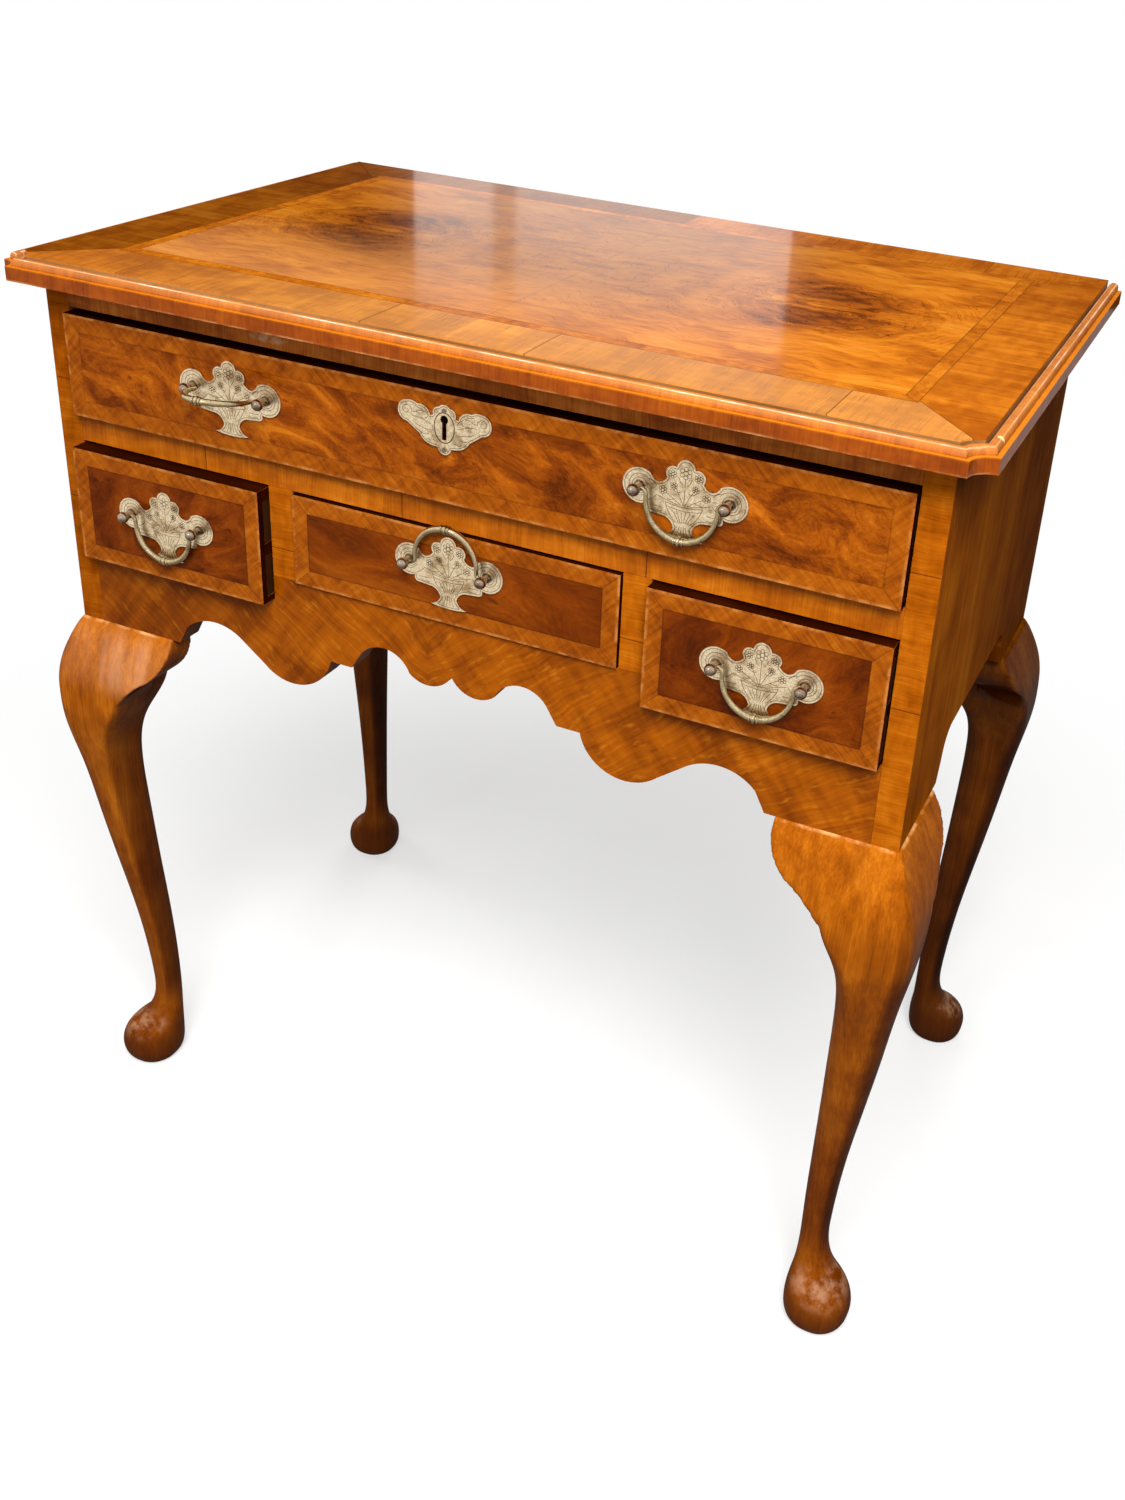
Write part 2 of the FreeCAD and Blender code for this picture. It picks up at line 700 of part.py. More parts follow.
def build_case(core):
    legs, front_ear, side_ear = build_leg()
    post_mid_x = half_case - d.side_thick - d.post_width / 2
    post_mid_y = front + d.stile_depth + d.post_width / 2
    post_in = half_case - d.side_thick - d.post_width
    post_back = front + d.stile_depth + d.post_width
    low_spot = (post_in, post_mid_y, d.leg_height + d.leg_screw_low)
    high_spot = (post_mid_x, post_back, d.leg_height + d.leg_screw_high)
    spots = ((low_spot, (1, 0, 0)), (high_spot, (0, -1, 0)))
    screws = group([screw(start, way, d.leg_screw_length) for start, way in spots])
    holes = group([screw_hole(start, way, d.leg_screw_length) for start, way in spots])

    front_right = node("front_right_leg", cut(legs, holes))
    front_left = node("front_left_leg", across(front_right))
    node("back_right_leg", to_back(front_right))
    node("back_left_leg", to_back(front_left))
    left_screws = across(screws)
    node("leg_screws", group([screws, left_screws, to_back(screws), to_back(left_screws)]))
    left_side_ear = across(side_ear)
    ears = [front_ear, side_ear, across(front_ear), left_side_ear, to_back(side_ear), to_back(left_side_ear)]
    node("knee_brackets", group(ears))
    left_holes = across(holes)
    rear_holes = [to_back(holes), to_back(left_holes)]

    # front frame: rails with tenons in the stiles, muntins with tenons in rail and apron
    inner_back = front + d.rail_depth
    frieze = fuse(box((-half_open, half_open), (front, behind), (frieze_low, case_top)),
                  *tenons(frieze_low, case_top, front))
    apron_body = body("apron")
    place(apron_body, 0, front)
    pad(apron_body, outline(apron_body, "XZ_Plane", both_halves(apron_path())), d.apron_thick, True)
    apron_bulk = fuse(apron_body, *tenons(d.leg_height, small_low, front))
    rail_bulk = fuse(box((-half_open, half_open), (front, inner_back), (rail_low, long_low)),
                     *tenons(rail_low, long_low, front))
    stub_y = (front + d.tenon_shoulder, front + d.tenon_shoulder + d.tenon_thick)
    stub_x = (muntin_in + d.tenon_shoulder, muntin_out - d.tenon_shoulder)
    stub = box(stub_x, stub_y, (centre_low - d.tenon_length, rail_low + d.tenon_length))
    right_muntin = fuse(box((muntin_in, muntin_out), (front, behind), (centre_low, rail_low)), stub)
    left_muntin = across(right_muntin)
    node("muntins", group([right_muntin, left_muntin]))
    middle_rail = node("middle_rail", cut(rail_bulk, right_muntin, left_muntin))
    node("frieze_rail", frieze)
    apron = node("front_apron", cut(apron_bulk, right_muntin, left_muntin, holes, left_holes))

    stile_bulk = box((half_open, half_case), (front, behind), (d.leg_height, case_top))
    right_stile = node("right_stile", cut(stile_bulk, frieze, middle_rail, apron))
    node("left_stile", across(right_stile))

    # back: board in rebates above, thick rail between the leg posts below
    board_x = half_open + d.rebate_depth
    back_low = small_low
    back_board = box((-board_x, board_x), (rear - d.back_thick, rear), (back_low, case_top))
    node("back_board", back_board)
    rail = box((-half_open, half_open), (rear - d.back_rail_thick, rear), (d.leg_height, back_low))
    node("back_rail", cut(rail, *rear_holes))

    side = body("side")
    place(side, half_open, middle)
    half_depth = d.case_depth / 2
    crown = d.leg_height + d.side_rise
    path = [
        (d.stile_depth - half_depth, case_top),
        (d.stile_depth - half_depth, d.leg_height),
        (d.ear_clear - half_depth, d.leg_height),
        (d.side_shoulder_y - half_depth, d.leg_height + d.side_shoulder),
        (d.side_crown_y - half_depth, crown, -d.side_crown_radius),
        (half_depth - d.side_crown_y, crown),
        (half_depth - d.side_shoulder_y, d.leg_height + d.side_shoulder, -d.side_crown_radius),
        (half_depth - d.ear_clear, d.leg_height),
        (half_depth, d.leg_height),
        (half_depth, case_top),
    ]
    pad(side, outline(side, "YZ_Plane", path), d.side_thick)
    right_side = node("right_side", cut(side, back_board, holes, rear_holes[0]))
    node("left_side", across(right_side))

    # inside: partitions, runners, kickers and stops
    inner_rear = rear - d.back_thick
    low_rear = rear - d.back_rail_thick
    partition_low = small_low - d.partition_drop
    right_partition = box((partition_in, partition_out), (behind, low_rear), (partition_low, rail_low))
    node("drawer_partitions", group([right_partition, across(right_partition)]))
    outer_x = (half_open - d.runner_width, half_open)
    long_run = box(outer_x, (inner_back, inner_rear), (long_low - d.runner_height, long_low))
    node("long_drawer_runners", group([long_run, across(long_run)]))
    outer_run = box(outer_x, (behind, low_rear), (small_low - d.runner_height, small_low))
    inner_run = box((partition_out, partition_out + d.inner_runner_width), (behind, low_rear),
                    (small_low - d.runner_height, small_low))
    centre_run = box((partition_in - d.inner_runner_width, partition_in), (behind, low_rear),
                     (centre_low - d.runner_height, centre_low))
    lower_runs = [outer_run, inner_run, centre_run]
    node("small_drawer_runners", group(lower_runs + [across(run) for run in lower_runs]))

    stop_start = front + drawer_depth + d.stop_gap
    stop_y = (stop_start, stop_start + d.stop_length)
    stops = []
    for x, level in (
        (outer_x, long_low),
        (outer_x, small_low),
        ((partition_out, partition_out + d.inner_runner_width), small_low),
        ((partition_in - d.inner_runner_width, partition_in), centre_low),
    ):
        stops.append(box(x, stop_y, (level, level + d.stop_height)))
    node("drawer_stops", group(stops + [across(stop) for stop in stops]))

    kicker_bulk = box(outer_x, (behind, inner_rear), (frieze_low, case_top))
    screw_x = half_open - d.runner_width / 2
    screw_top = frieze_low
    reach = (behind + d.screw_end_margin, middle, inner_rear - d.screw_end_margin)
    top_screws = [screw((screw_x, y, screw_top), (0, 0, 1), d.top_screw_length) for y in reach]
    top_holes = group([screw_hole((screw_x, y, screw_top), (0, 0, 1), d.top_screw_length) for y in reach])
    kicker = cut(kicker_bulk, top_holes)
    node("drawer_kickers", group([kicker, across(kicker)]))
    node("top_screws", group(top_screws + [across(one) for one in top_screws]))
    node("top_board", cut(core, top_holes, across(top_holes)))


def drawer_side_path(low, high, near, far):
    """Side view of a drawer side: lapped tails at the front, through tails at the back."""
    front_end = near + d.front_lap
    front_root = near + d.front_thick
    back_root = far - d.lining_thick
    pitch = (high - low) / 2
    path = []
    for index in range(2):
        base = low + pitch * index
        path += [
            (front_root, base + d.pin_width / 2 + d.tail_slope),
            (front_end, base + d.pin_width / 2),
            (front_end, base + pitch - d.pin_width / 2),
            (front_root, base + pitch - d.pin_width / 2 - d.tail_slope),
        ]
    path += [(front_root, high), (back_root, high)]
    back_low = low + d.bottom_rise + d.bottom_thick
    back_pitch = (high - back_low) / 2
    for index in (1, 0):
        base = back_low + back_pitch * index
        path += [
            (back_root, base + back_pitch - d.pin_width / 2 - d.tail_slope),
            (far, base + back_pitch - d.pin_width / 2),
            (far, base + d.pin_width / 2),
            (back_root, base + d.pin_width / 2 + d.tail_slope),
        ]
    path += [(back_root, back_low), (far, back_low), (far, low), (front_root, low)]
    return path


def build_drawer(name, x, low, front_height, proud, holes):
    """Front, dovetailed sides, back and bottom of one drawer, standing proud as in the photo."""
    near, far = front - proud, front - proud + drawer_depth
    base = low + d.drawer_run_gap
    high = base + front_height - d.lining_drop
    floor_low = base + d.bottom_rise
    floor_high = floor_low + d.bottom_thick
    inner = (x[0] + d.lining_thick, x[1] - d.lining_thick)
    panel_x = (inner[0] - d.groove_depth, inner[1] + d.groove_depth)
    groove_y = near + d.front_thick - d.groove_depth
    bottom = node(name + "_drawer_bottom", box(panel_x, (groove_y, far), (floor_low, floor_high)))
    sides = []
    for start in (x[0], inner[1]):
        lining = body("lining")
        place(lining, start)
        pad(lining, outline(lining, "YZ_Plane", drawer_side_path(base, high, near, far)), d.lining_thick)
        sides.append(cut(lining, bottom))
    both = node(name + "_drawer_sides", group(sides))
    blank = box(x, (near, near + d.front_thick), (base, base + front_height))
    node(name + "_drawer_front", cut(blank, *(sides + [bottom] + holes)))
    back_high = high - d.back_drop + d.lining_drop
    back = box(x, (far - d.lining_thick, far), (floor_high, back_high))
    node(name + "_drawer_back", cut(back, both))


def plate_path():
    """The handle plate's outline: dome, buds, valleys, lobes round the posts and a flared foot."""
    lobe_x = d.post_half_span - d.lobe_start_x
    lobe_rise = root(d.lobe_ring * d.lobe_ring - d.lobe_start_x * d.lobe_start_x)
    hip_x = d.post_half_span - d.hip_x
    hip_drop = root(d.lobe_ring * d.lobe_ring - d.hip_x * d.hip_x)
    return [
        (0, d.plate_rise),
        (d.dome_x, d.dome_end, -d.dome_radius),
        (d.bud_x, d.bud_end, -d.bud_radius),
        (d.valley_x, d.valley_rise, d.valley_radius),
        (lobe_x, lobe_rise, d.valley_radius),
        (d.post_half_span + d.lobe_ring, 0, -d.lobe_ring),
        (hip_x, -hip_drop, -d.lobe_ring),
        (d.knob_x, -d.knob_drop, -d.knob_radius),
        (d.belly_start_x, -d.belly_start_drop),
        (d.waist_x, -d.waist_drop, d.hip_radius),
        (d.foot_x, -d.foot_drop, d.foot_hollow),
        (0, -d.foot_drop - d.plate_thick, -d.foot_radius),
    ]


def build_post():
    """Profile of a ball-headed post, turned about its own axis, with a cross bore for the bail."""
    post = body("post")
    sketch = post.newObject("Sketcher::SketchObject", "profile")
    sketch.AttachmentSupport = (plane(post, "XY_Plane"), [""])
    sketch.MapMode = "FlatFace"
    face = -d.plate_thick
    ball = face - d.ball_out
    dip = root(d.ball_radius * d.ball_radius - d.barrel_radius * d.barrel_radius)
    tail = d.front_thick + d.nut_thick + d.plate_thick
    add_loop(sketch, [
        (0, tail),
        (0, ball - d.ball_radius),
        (d.ball_radius, ball, d.ball_radius),
        (d.barrel_radius, ball + dip, d.ball_radius),
        (d.barrel_radius, face - d.flange_thick),
        (d.flange_radius, face - d.flange_thick),
        (d.flange_radius, face),
        (d.shank_radius, face),
        (d.shank_radius, tail),
    ])
    turned = post.newObject("PartDesign::Revolution", "turned")
    turned.Profile = sketch
    turned.ReferenceAxis = (sketch, ["V_Axis"])
    turned.Angle = 360.0
    post.Tip = turned
    return post


def ring_at(centre, way, radius):
    return Part.Wire(Part.Circle(FreeCAD.Vector(*centre), FreeCAD.Vector(*way), radius).toShape())


def bail_shape():
    """A tapered bow with turned-out tips and a ringed collar, hanging below its pivot line."""
    span, bend, drop = d.bail_half_span.number, d.bail_bend.number, d.bail_drop.number
    thin, thick = d.bail_tip_radius.number, d.bail_mid_radius.number
    turn_x = span + bend
    tip_x = d.post_half_span.number + d.bail_tip_over.number
    corner = bend * math.sqrt(0.5)
    bow_top = span - drop
    solids = []
    for hand in (-1, 1):
        straight = Part.makeLine((hand * tip_x, 0, 0), (hand * turn_x, 0, 0))
        knuckle = FreeCAD.Vector(hand * (turn_x - corner), 0, corner - bend)
        below = FreeCAD.Vector(hand * span, 0, -bend)
        curve = Part.Arc(FreeCAD.Vector(hand * turn_x, 0, 0), knuckle, below).toShape()
        arm = Part.makeLine(below, (hand * span, 0, bow_top))
        path = Part.Wire([straight, curve, arm])
        solids.append(path.makePipeShell([ring_at((hand * tip_x, 0, 0), (-hand, 0, 0), thin)], True, True))
    rings = []
    for step in range(BOW_STEPS + 1):
        angle = 180.0 * step / BOW_STEPS
        radius = thin + (thick - thin) * math.sin(math.radians(angle))
        ring = ring_at((-span, 0, bow_top), (0, 0, -1), radius)
        ring.rotate(FreeCAD.Vector(0, 0, bow_top), FreeCAD.Vector(0, -1, 0), angle)
        rings.append(ring)
    solids.append(Part.makeLoft(rings, True))
    pitch = d.collar_pitch.number
    for shift, radius, width in (
        (-pitch, d.collar_ring_radius.number, d.collar_ring_width.number),
        (0.0, d.collar_radius.number, d.collar_width.number),
        (pitch, d.collar_ring_radius.number, d.collar_ring_width.number),
    ):
        start = FreeCAD.Vector(shift - width / 2, 0, -drop)
        disc = Part.makeCylinder(radius, width, start, FreeCAD.Vector(1, 0, 0))
        rims = [rim for rim in disc.Edges if rim.Closed]
        solids.append(disc.makeFillet(width * RIM_SHARE, rims))
    return solids[0].fuse(solids[1:]).removeSplitter()


def build_handle(name, x, face, level, angle, bail_solid):
    """Plate, two posts with nuts and the bail of one handle."""
    plate = body("plate")
    place(plate, x, face, level)
    pad(plate, outline(plate, "XZ_Plane", both_halves(plate_path())), d.plate_thick)
    eye = face - d.plate_thick - d.eye_out
    posts, nuts, bores = [], [], []
    for side in (-1, 1):
        spot = x + d.post_half_span * side
        turned = place(build_post(), spot, face, level)
        bore_x = spot - d.ball_radius
        bore = rod((bore_x, eye, level), (1, 0, 0), d.bail_tip_radius + d.pin_fit, d.ball_radius * 2)
        posts.append(cut(turned, bore))
        hole_start = (spot, face - d.plate_thick, level)
        hole_length = d.front_thick + d.nut_thick + d.plate_thick * 3
        bores.append(rod(hole_start, (0, 1, 0), d.shank_radius + d.fit_gap, hole_length))
        nut_x = (spot - d.nut_width / 2, spot + d.nut_width / 2)
        nut_y = (face + d.front_thick, face + d.front_thick + d.nut_thick)
        nut = box(nut_x, nut_y, (level - d.nut_width / 2, level + d.nut_width / 2))
        nuts.append(cut(nut, bores[-1]))
    bail = doc.addObject("Part::Feature", name + "_bail")
    bail.Shape = bail_solid
    place(bail, x, eye, level, FreeCAD.Rotation(FreeCAD.Vector(-1, 0, 0), angle.number))
    node(name + "_bail", bail)
    return cut(plate, *bores), posts + nuts, bores


def escutcheon_path():
    """The key plate's outline: a three-lobed crest, two raised wings and a rounded toe."""
    return [
        (0, d.crest_rise),
        (d.crest_x, d.crest_end, -d.crest_radius),
        (d.shoulder_x, d.shoulder_rise, -d.shoulder_radius),
        (d.crease_x, d.crease_rise),
        (d.wing_x, d.wing_rise, -d.wing_radius),
        (d.tip_top_x, d.tip_top_rise, -d.tip_top_radius),
        (d.tip_x, d.tip_rise, -d.tip_radius),
        (d.under_x, -d.under_drop, -d.tip_radius),
        (d.flank_x, -d.flank_drop),
        (d.belly_x, -d.belly_drop, -d.belly_radius),
        (d.ankle_x, -d.ankle_drop),
        (0, -d.toe_drop, -d.toe_radius),
    ]


def build_lock(face, level):
    """Escutcheon, its pins, the lock and its bolt on the long drawer; returns what they let in."""
    head_level = level + d.keyhole_head
    through = d.front_thick + d.plate_thick * 2
    keyhole_start = (size(0), face - d.plate_thick * 2, head_level)
    key_round = rod(keyhole_start, (0, 1, 0), d.keyhole_radius, through)
    slot_x = (-d.keyhole_slot / 2, d.keyhole_slot / 2)
    key_slot = box(slot_x, (face - d.plate_thick * 2, face - d.plate_thick * 2 + through),
                   (level - d.keyhole_tail, head_level))
    keyhole = fuse(key_round, key_slot)
    plate = body("key_plate")
    place(plate, 0, face, level)
    pad(plate, outline(plate, "XZ_Plane", both_halves(escutcheon_path())), d.plate_thick)
    pins, pin_holes = [], []
    for pin_level in (level + d.top_pin_rise, level - d.foot_pin_drop):
        start = (size(0), face - d.plate_thick - d.pin_head_thick, pin_level)
        head = rod(start, (0, 1, 0), d.pin_head_radius, d.pin_head_thick)
        pins.append(fuse(head, rod(start, (0, 1, 0), d.pin_radius, d.pin_length)))
        pin_holes.append(rod(start, (0, 1, 0), d.pin_radius + d.fit_gap, d.pin_length + d.fit_gap))
    node("escutcheon", cut(plate, keyhole, *pin_holes))
    node("escutcheon_pins", group(pins))

    back = face + d.front_thick
    case_y = (back - d.lock_thick, back)
    case_low = level - d.lock_drop
    case_high = case_low + d.lock_height
    blank = box((-d.lock_width / 2, d.lock_width / 2), case_y, (case_low, case_high))
    bolt_mid = back - d.lock_thick / 2
    bolt_y = (bolt_mid - d.bolt_thick / 2, bolt_mid + d.bolt_thick / 2)
    bolt_low = head_level + d.keyhole_radius + d.bolt_rise
    bolt = box((-d.bolt_width / 2, d.bolt_width / 2), bolt_y, (bolt_low, case_high))
    node("lock_bolt", bolt)
    node("lock_case", cut(blank, bolt, keyhole))
    return [blank, keyhole] + pin_holes


def build_drawers():
    bail_solid = bail_shape()
    long_x = half_open - d.drawer_side_gap
    small_x = (muntin_out + d.drawer_side_gap, half_open - d.drawer_side_gap)
    centre_x = d.centre_front_width / 2
    small_mid = (small_x[0] + small_x[1]) / 2
    hanging = size(0)

    face = front - d.long_proud
    level = long_low + d.long_handle_rise
    plate_a, posts_a, holes_a = build_handle(
        "long_left", -d.long_handle_x, face, level, d.left_bail_angle, bail_solid)
    plate_b, posts_b, holes_b = build_handle(
        "long_right", d.long_handle_x, face, level, hanging, bail_solid)
    node("long_handle_plates", group([plate_a, plate_b]))
    node("long_handle_posts", group(posts_a + posts_b))
    lock_holes = build_lock(face, long_low + d.keyhole_rise)
    lock_cut = [fuse(*lock_holes)]
    build_drawer("long", (-long_x, long_x), long_low, d.long_front_height, d.long_proud,
                 holes_a + holes_b + lock_cut)

    for name, x, middle_x, low, height, proud, rise, angle in (
        ("left", (-small_x[1], -small_x[0]), -small_mid, small_low, d.small_front_height,
         d.left_proud, d.small_handle_rise, hanging),
        ("centre", (-centre_x, centre_x), size(0), centre_low, d.centre_front_height,
         d.centre_proud, d.centre_handle_rise, d.centre_bail_angle),
        ("right", small_x, small_mid, small_low, d.small_front_height,
         d.right_proud, d.small_handle_rise, hanging),
    ):
        plate, posts, holes = build_handle(name, middle_x, front - proud, low + rise, angle, bail_solid)
        node(name + "_handle_plate", plate)
        node(name + "_handle_posts", group(posts))
        build_drawer(name, x, low, height, proud, holes)


build_case(build_top())
build_drawers()
doc.recompute()

faults = []
for thing in doc.Objects:
    if "Invalid" in thing.State or "Error" in thing.State:
        faults.append("%s: %s" % (thing.Label, thing.State))
for label, thing in nodes.items():
    if thing.Shape.isNull() or not thing.Shape.isValid() or not thing.Shape.Solids:
        faults.append("%s: no valid solid" % label)
for fault in faults:
    print("FAULT", fault)
if faults:
    raise SystemExit(1)

os.makedirs("parts", exist_ok=True)
for label, thing in nodes.items():
    thing.Shape.exportStep("parts/%s.step" % label)
print(len(nodes), "nodes written")
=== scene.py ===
"""Looks of the walnut lowboy: polished veneers, solid legs and aged brass on a plain pale floor."""
import math

import bmesh
import bpy
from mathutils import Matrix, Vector


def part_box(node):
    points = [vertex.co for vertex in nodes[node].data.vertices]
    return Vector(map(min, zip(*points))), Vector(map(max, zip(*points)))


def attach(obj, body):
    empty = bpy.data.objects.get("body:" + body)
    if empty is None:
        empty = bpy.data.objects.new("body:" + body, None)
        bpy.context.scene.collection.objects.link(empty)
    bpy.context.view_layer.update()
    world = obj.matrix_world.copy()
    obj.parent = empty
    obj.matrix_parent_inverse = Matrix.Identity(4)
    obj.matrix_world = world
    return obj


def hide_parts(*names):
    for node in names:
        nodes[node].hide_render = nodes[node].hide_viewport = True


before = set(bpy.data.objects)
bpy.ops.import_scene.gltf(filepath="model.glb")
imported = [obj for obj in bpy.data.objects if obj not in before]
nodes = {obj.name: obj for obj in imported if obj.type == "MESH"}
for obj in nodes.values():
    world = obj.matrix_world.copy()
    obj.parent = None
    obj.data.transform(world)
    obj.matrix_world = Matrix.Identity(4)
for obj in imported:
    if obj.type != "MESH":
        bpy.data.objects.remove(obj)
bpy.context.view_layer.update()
MM = 0.001


def tone(red, green, blue):
    """A colour given as 0-255 display values, in Blender's linear light."""
    linear = []
    for value in (red, green, blue):
        share = value / 255
        linear.append(share / 12.92 if share <= 0.04045 else ((share + 0.055) / 1.055) ** 2.4)
    return (*linear, 1.0)


class Tree:
    """Writes a node tree. Values are sockets, numbers or vectors."""

    def __init__(self, owner):
        owner.use_nodes = True
        self.tree = owner.node_tree
        self.tree.nodes.clear()

    def feed(self, socket, value):
        if isinstance(value, bpy.types.NodeSocket):
            self.tree.links.new(value, socket)
        else:
            socket.default_value = value

    def add(self, kind, *values, **settings):
        node = self.tree.nodes.new("ShaderNode" + kind)
        for key, value in settings.items():
            setattr(node, key, value)
        for index, value in enumerate(values):
            self.feed(node.inputs[index], value)
        return node

    def math(self, operation, *values):
        return self.add("Math", *values, operation=operation).outputs[0]

    def seen(self):
        """1 on rays from the camera, straight or by way of a mirror or glass."""
        path = self.add("LightPath").outputs
        direct = self.math("MAXIMUM", path["Is Camera Ray"], path["Is Glossy Ray"])
        return self.math("MAXIMUM", direct, path["Is Transmission Ray"])


class Graph(Tree):
    """Writes the tree of a new material, with the place and facing of each point."""

    def __init__(self, name):
        self.material = bpy.data.materials.new(name)
        super().__init__(self.material)
        spot = self.add("TexCoord")
        self.x, self.y, self.z = self.parts(spot.outputs["Object"])
        self.facing = self.parts(spot.outputs["Normal"])

    def plus(self, a, b):
        return self.math("ADD", a, b)

    def minus(self, a, b):
        return self.math("SUBTRACT", a, b)

    def times(self, a, b):
        return self.math("MULTIPLY", a, b)

    def size(self, a):
        return self.math("ABSOLUTE", a)

    def length(self, vector):
        return self.add("VectorMath", vector, operation="LENGTH").outputs["Value"]

    def parts(self, vector):
        return tuple(self.add("SeparateXYZ", vector).outputs)

    def vector(self, a, b, c):
        return self.add("CombineXYZ", a, b, c).outputs[0]

    def scaled(self, vector, factors, shift=0.0):
        node = self.add("VectorMath", vector, factors, (shift, shift * 1.7, shift * 2.3),
                        operation="MULTIPLY_ADD")
        return node.outputs[0]

    def noise(self, vector, scale=1.0, detail=3.0, rough=0.55, twist=0.0):
        node = self.add("TexNoise")
        for key, value in (("Vector", vector), ("Scale", scale), ("Detail", detail),
                           ("Roughness", rough), ("Distortion", twist)):
            self.feed(node.inputs[key], value)
        return node

    def field(self, *values, **settings):
        return self.noise(*values, **settings).outputs[0]

    def ramp(self, factor, stops):
        node = self.add("ValToRGB", factor)
        elements = node.color_ramp.elements
        while len(elements) < len(stops):
            elements.new(1.0)
        for element, (place, colour) in zip(elements, stops):
            element.position = place
            element.color = colour
        return node.outputs[0]

    def mix(self, factor, a, b, blend="MIX"):
        node = self.add("Mix", data_type="RGBA", blend_type=blend)
        for index, value in ((0, factor), (6, a), (7, b)):
            self.feed(node.inputs[index], value)
        return node.outputs[2]

    def tint(self, amount, colour, shade):
        """The colour, multiplied by a shade in the given amount."""
        return self.mix(amount, colour, self.mix(1.0, colour, shade, "MULTIPLY"))

    def pick(self, mask, a, b):
        """Vector a where the mask is 0, b where it is 1."""
        node = self.add("Mix", data_type="VECTOR")
        for index, value in ((0, mask), (4, a), (5, b)):
            self.feed(node.inputs[index], value)
        return node.outputs[1]

    def ease(self, value, start, end, low=0.0, high=1.0):
        """A smooth step from low at the start to high at the end."""
        node = self.add("MapRange", value, start, end, low, high, interpolation_type="SMOOTHSTEP")
        return node.outputs[0]

    def near(self, value, place, half):
        """1 within half of the place, 0 elsewhere."""
        return self.math("COMPARE", value, place, half)

    def surface(self, shader):
        self.add("OutputMaterial", shader.outputs[0])
        return self.material

    def finish(self, colour, height, bump=0.12, depth=0.0005, rough=(0.30, 0.42), **constants):
        """Closes the tree with a Principled shader; constants go straight onto its sockets."""
        lift = self.add("Bump")
        for key, value in (("Strength", bump), ("Distance", depth), ("Height", height)):
            self.feed(lift.inputs[key], value)
        shader = self.add("BsdfPrincipled")
        settings = {
            "Base Color": colour,
            "Roughness": self.ease(height, 0.2, 0.8, *rough),
            "Normal": lift.outputs[0],
        }
        settings.update(constants)
        for key, value in settings.items():
            self.feed(shader.inputs[key], value)
        return self.surface(shader)


# Finishes, from the polished top to raw wood.
GLOSS = {"Coat Weight": 0.50, "Coat Roughness": 0.07, "Specular IOR Level": 0.05}
POLISH = {"Coat Weight": 0.08, "Coat Roughness": 0.08, "Specular IOR Level": 0.0}
BEADED = {"Coat Weight": 0.22, "Coat Roughness": 0.09, "Specular IOR Level": 0.0}
RUBBED = {"Coat Weight": 0.06, "Coat Roughness": 0.07, "Specular IOR Level": 0.0}
WAX = {"Coat Weight": 0.01, "Coat Roughness": 0.20, "Specular IOR Level": 0.0}
RAW = {"Specular IOR Level": 0.10}

# Woods: ramps from the darkest to the palest figure.
BURR = [(0.30, tone(80, 31, 2)), (0.44, tone(122, 54, 4)), (0.56, tone(156, 77, 7)),
        (0.72, tone(192, 108, 20))]
DEEP = [(0.30, tone(70, 25, 1)), (0.45, tone(98, 38, 1)), (0.56, tone(118, 50, 2)),
        (0.72, tone(144, 68, 6))]
WARM = [(0.30, tone(88, 35, 1)), (0.45, tone(114, 48, 2)), (0.56, tone(132, 60, 3)),
        (0.72, tone(154, 78, 8))]
BAND = [(0.26, tone(116, 52, 4)), (0.44, tone(158, 79, 7)), (0.57, tone(182, 98, 13)),
        (0.76, tone(208, 128, 32))]
EDGE = [(0.26, tone(100, 43, 3)), (0.44, tone(138, 66, 5)), (0.57, tone(160, 82, 9)),
        (0.76, tone(186, 109, 24))]
LEAF = [(0.24, tone(104, 44, 2)), (0.41, tone(168, 85, 8)), (0.56, tone(206, 117, 18)),
        (0.78, tone(228, 150, 48))]
SOLID = [(0.26, tone(104, 48, 3)), (0.45, tone(154, 78, 6)), (0.57, tone(182, 100, 14)),
         (0.76, tone(206, 130, 36))]
# Leg wood darkened as painted shade, for the back right leg.
LEG_IN_PAINTED_SHADE = [(0.26, tone(62, 27, 1)), (0.45, tone(96, 45, 2)), (0.57, tone(116, 60, 5)),
        (0.76, tone(138, 80, 14))]
APRON = [(0.26, tone(88, 36, 1)), (0.44, tone(132, 62, 2)), (0.57, tone(162, 82, 4)),
         (0.76, tone(196, 116, 20))]
FRIEZE = [(0.26, tone(112, 48, 8)), (0.46, tone(160, 80, 18)), (0.58, tone(190, 104, 30)),
          (0.76, tone(212, 130, 56))]
SIDE = [(0.26, tone(110, 50, 2)), (0.46, tone(156, 79, 5)), (0.58, tone(180, 98, 9)),
        (0.76, tone(204, 126, 28))]
OAK = [(0.28, tone(122, 84, 48)), (0.46, tone(160, 118, 72)), (0.60, tone(180, 138, 90)),
       (0.76, tone(198, 160, 112))]
PINE = [(0.28, tone(112, 74, 38)), (0.46, tone(150, 106, 60)), (0.60, tone(168, 124, 74)),
        (0.76, tone(184, 144, 94))]
INK = tone(38, 14, 4)
PALE = tone(214, 158, 98)


def figured(g, base, *figures):
    """A base value swayed by noises, each with its weight."""
    for noise, weight in figures:
        base = g.math("MULTIPLY_ADD", g.minus(noise, 0.5), weight, base)
    return base


def turned(g, a, b, degrees):
    """Two coordinates, turned about their origin."""
    slope = math.radians(degrees)
    along = g.plus(g.times(a, math.cos(slope)), g.times(b, math.sin(slope)))
    across = g.minus(g.times(b, math.cos(slope)), g.times(a, math.sin(slope)))
    return along, across


# Figure of straight grain.
LANE_SWAY = 0.12
LINES_FINER = 6.0
PORE_SCALE = (90.0, 1900.0, 1900.0)
PORE_TINT = tone(130, 94, 70)


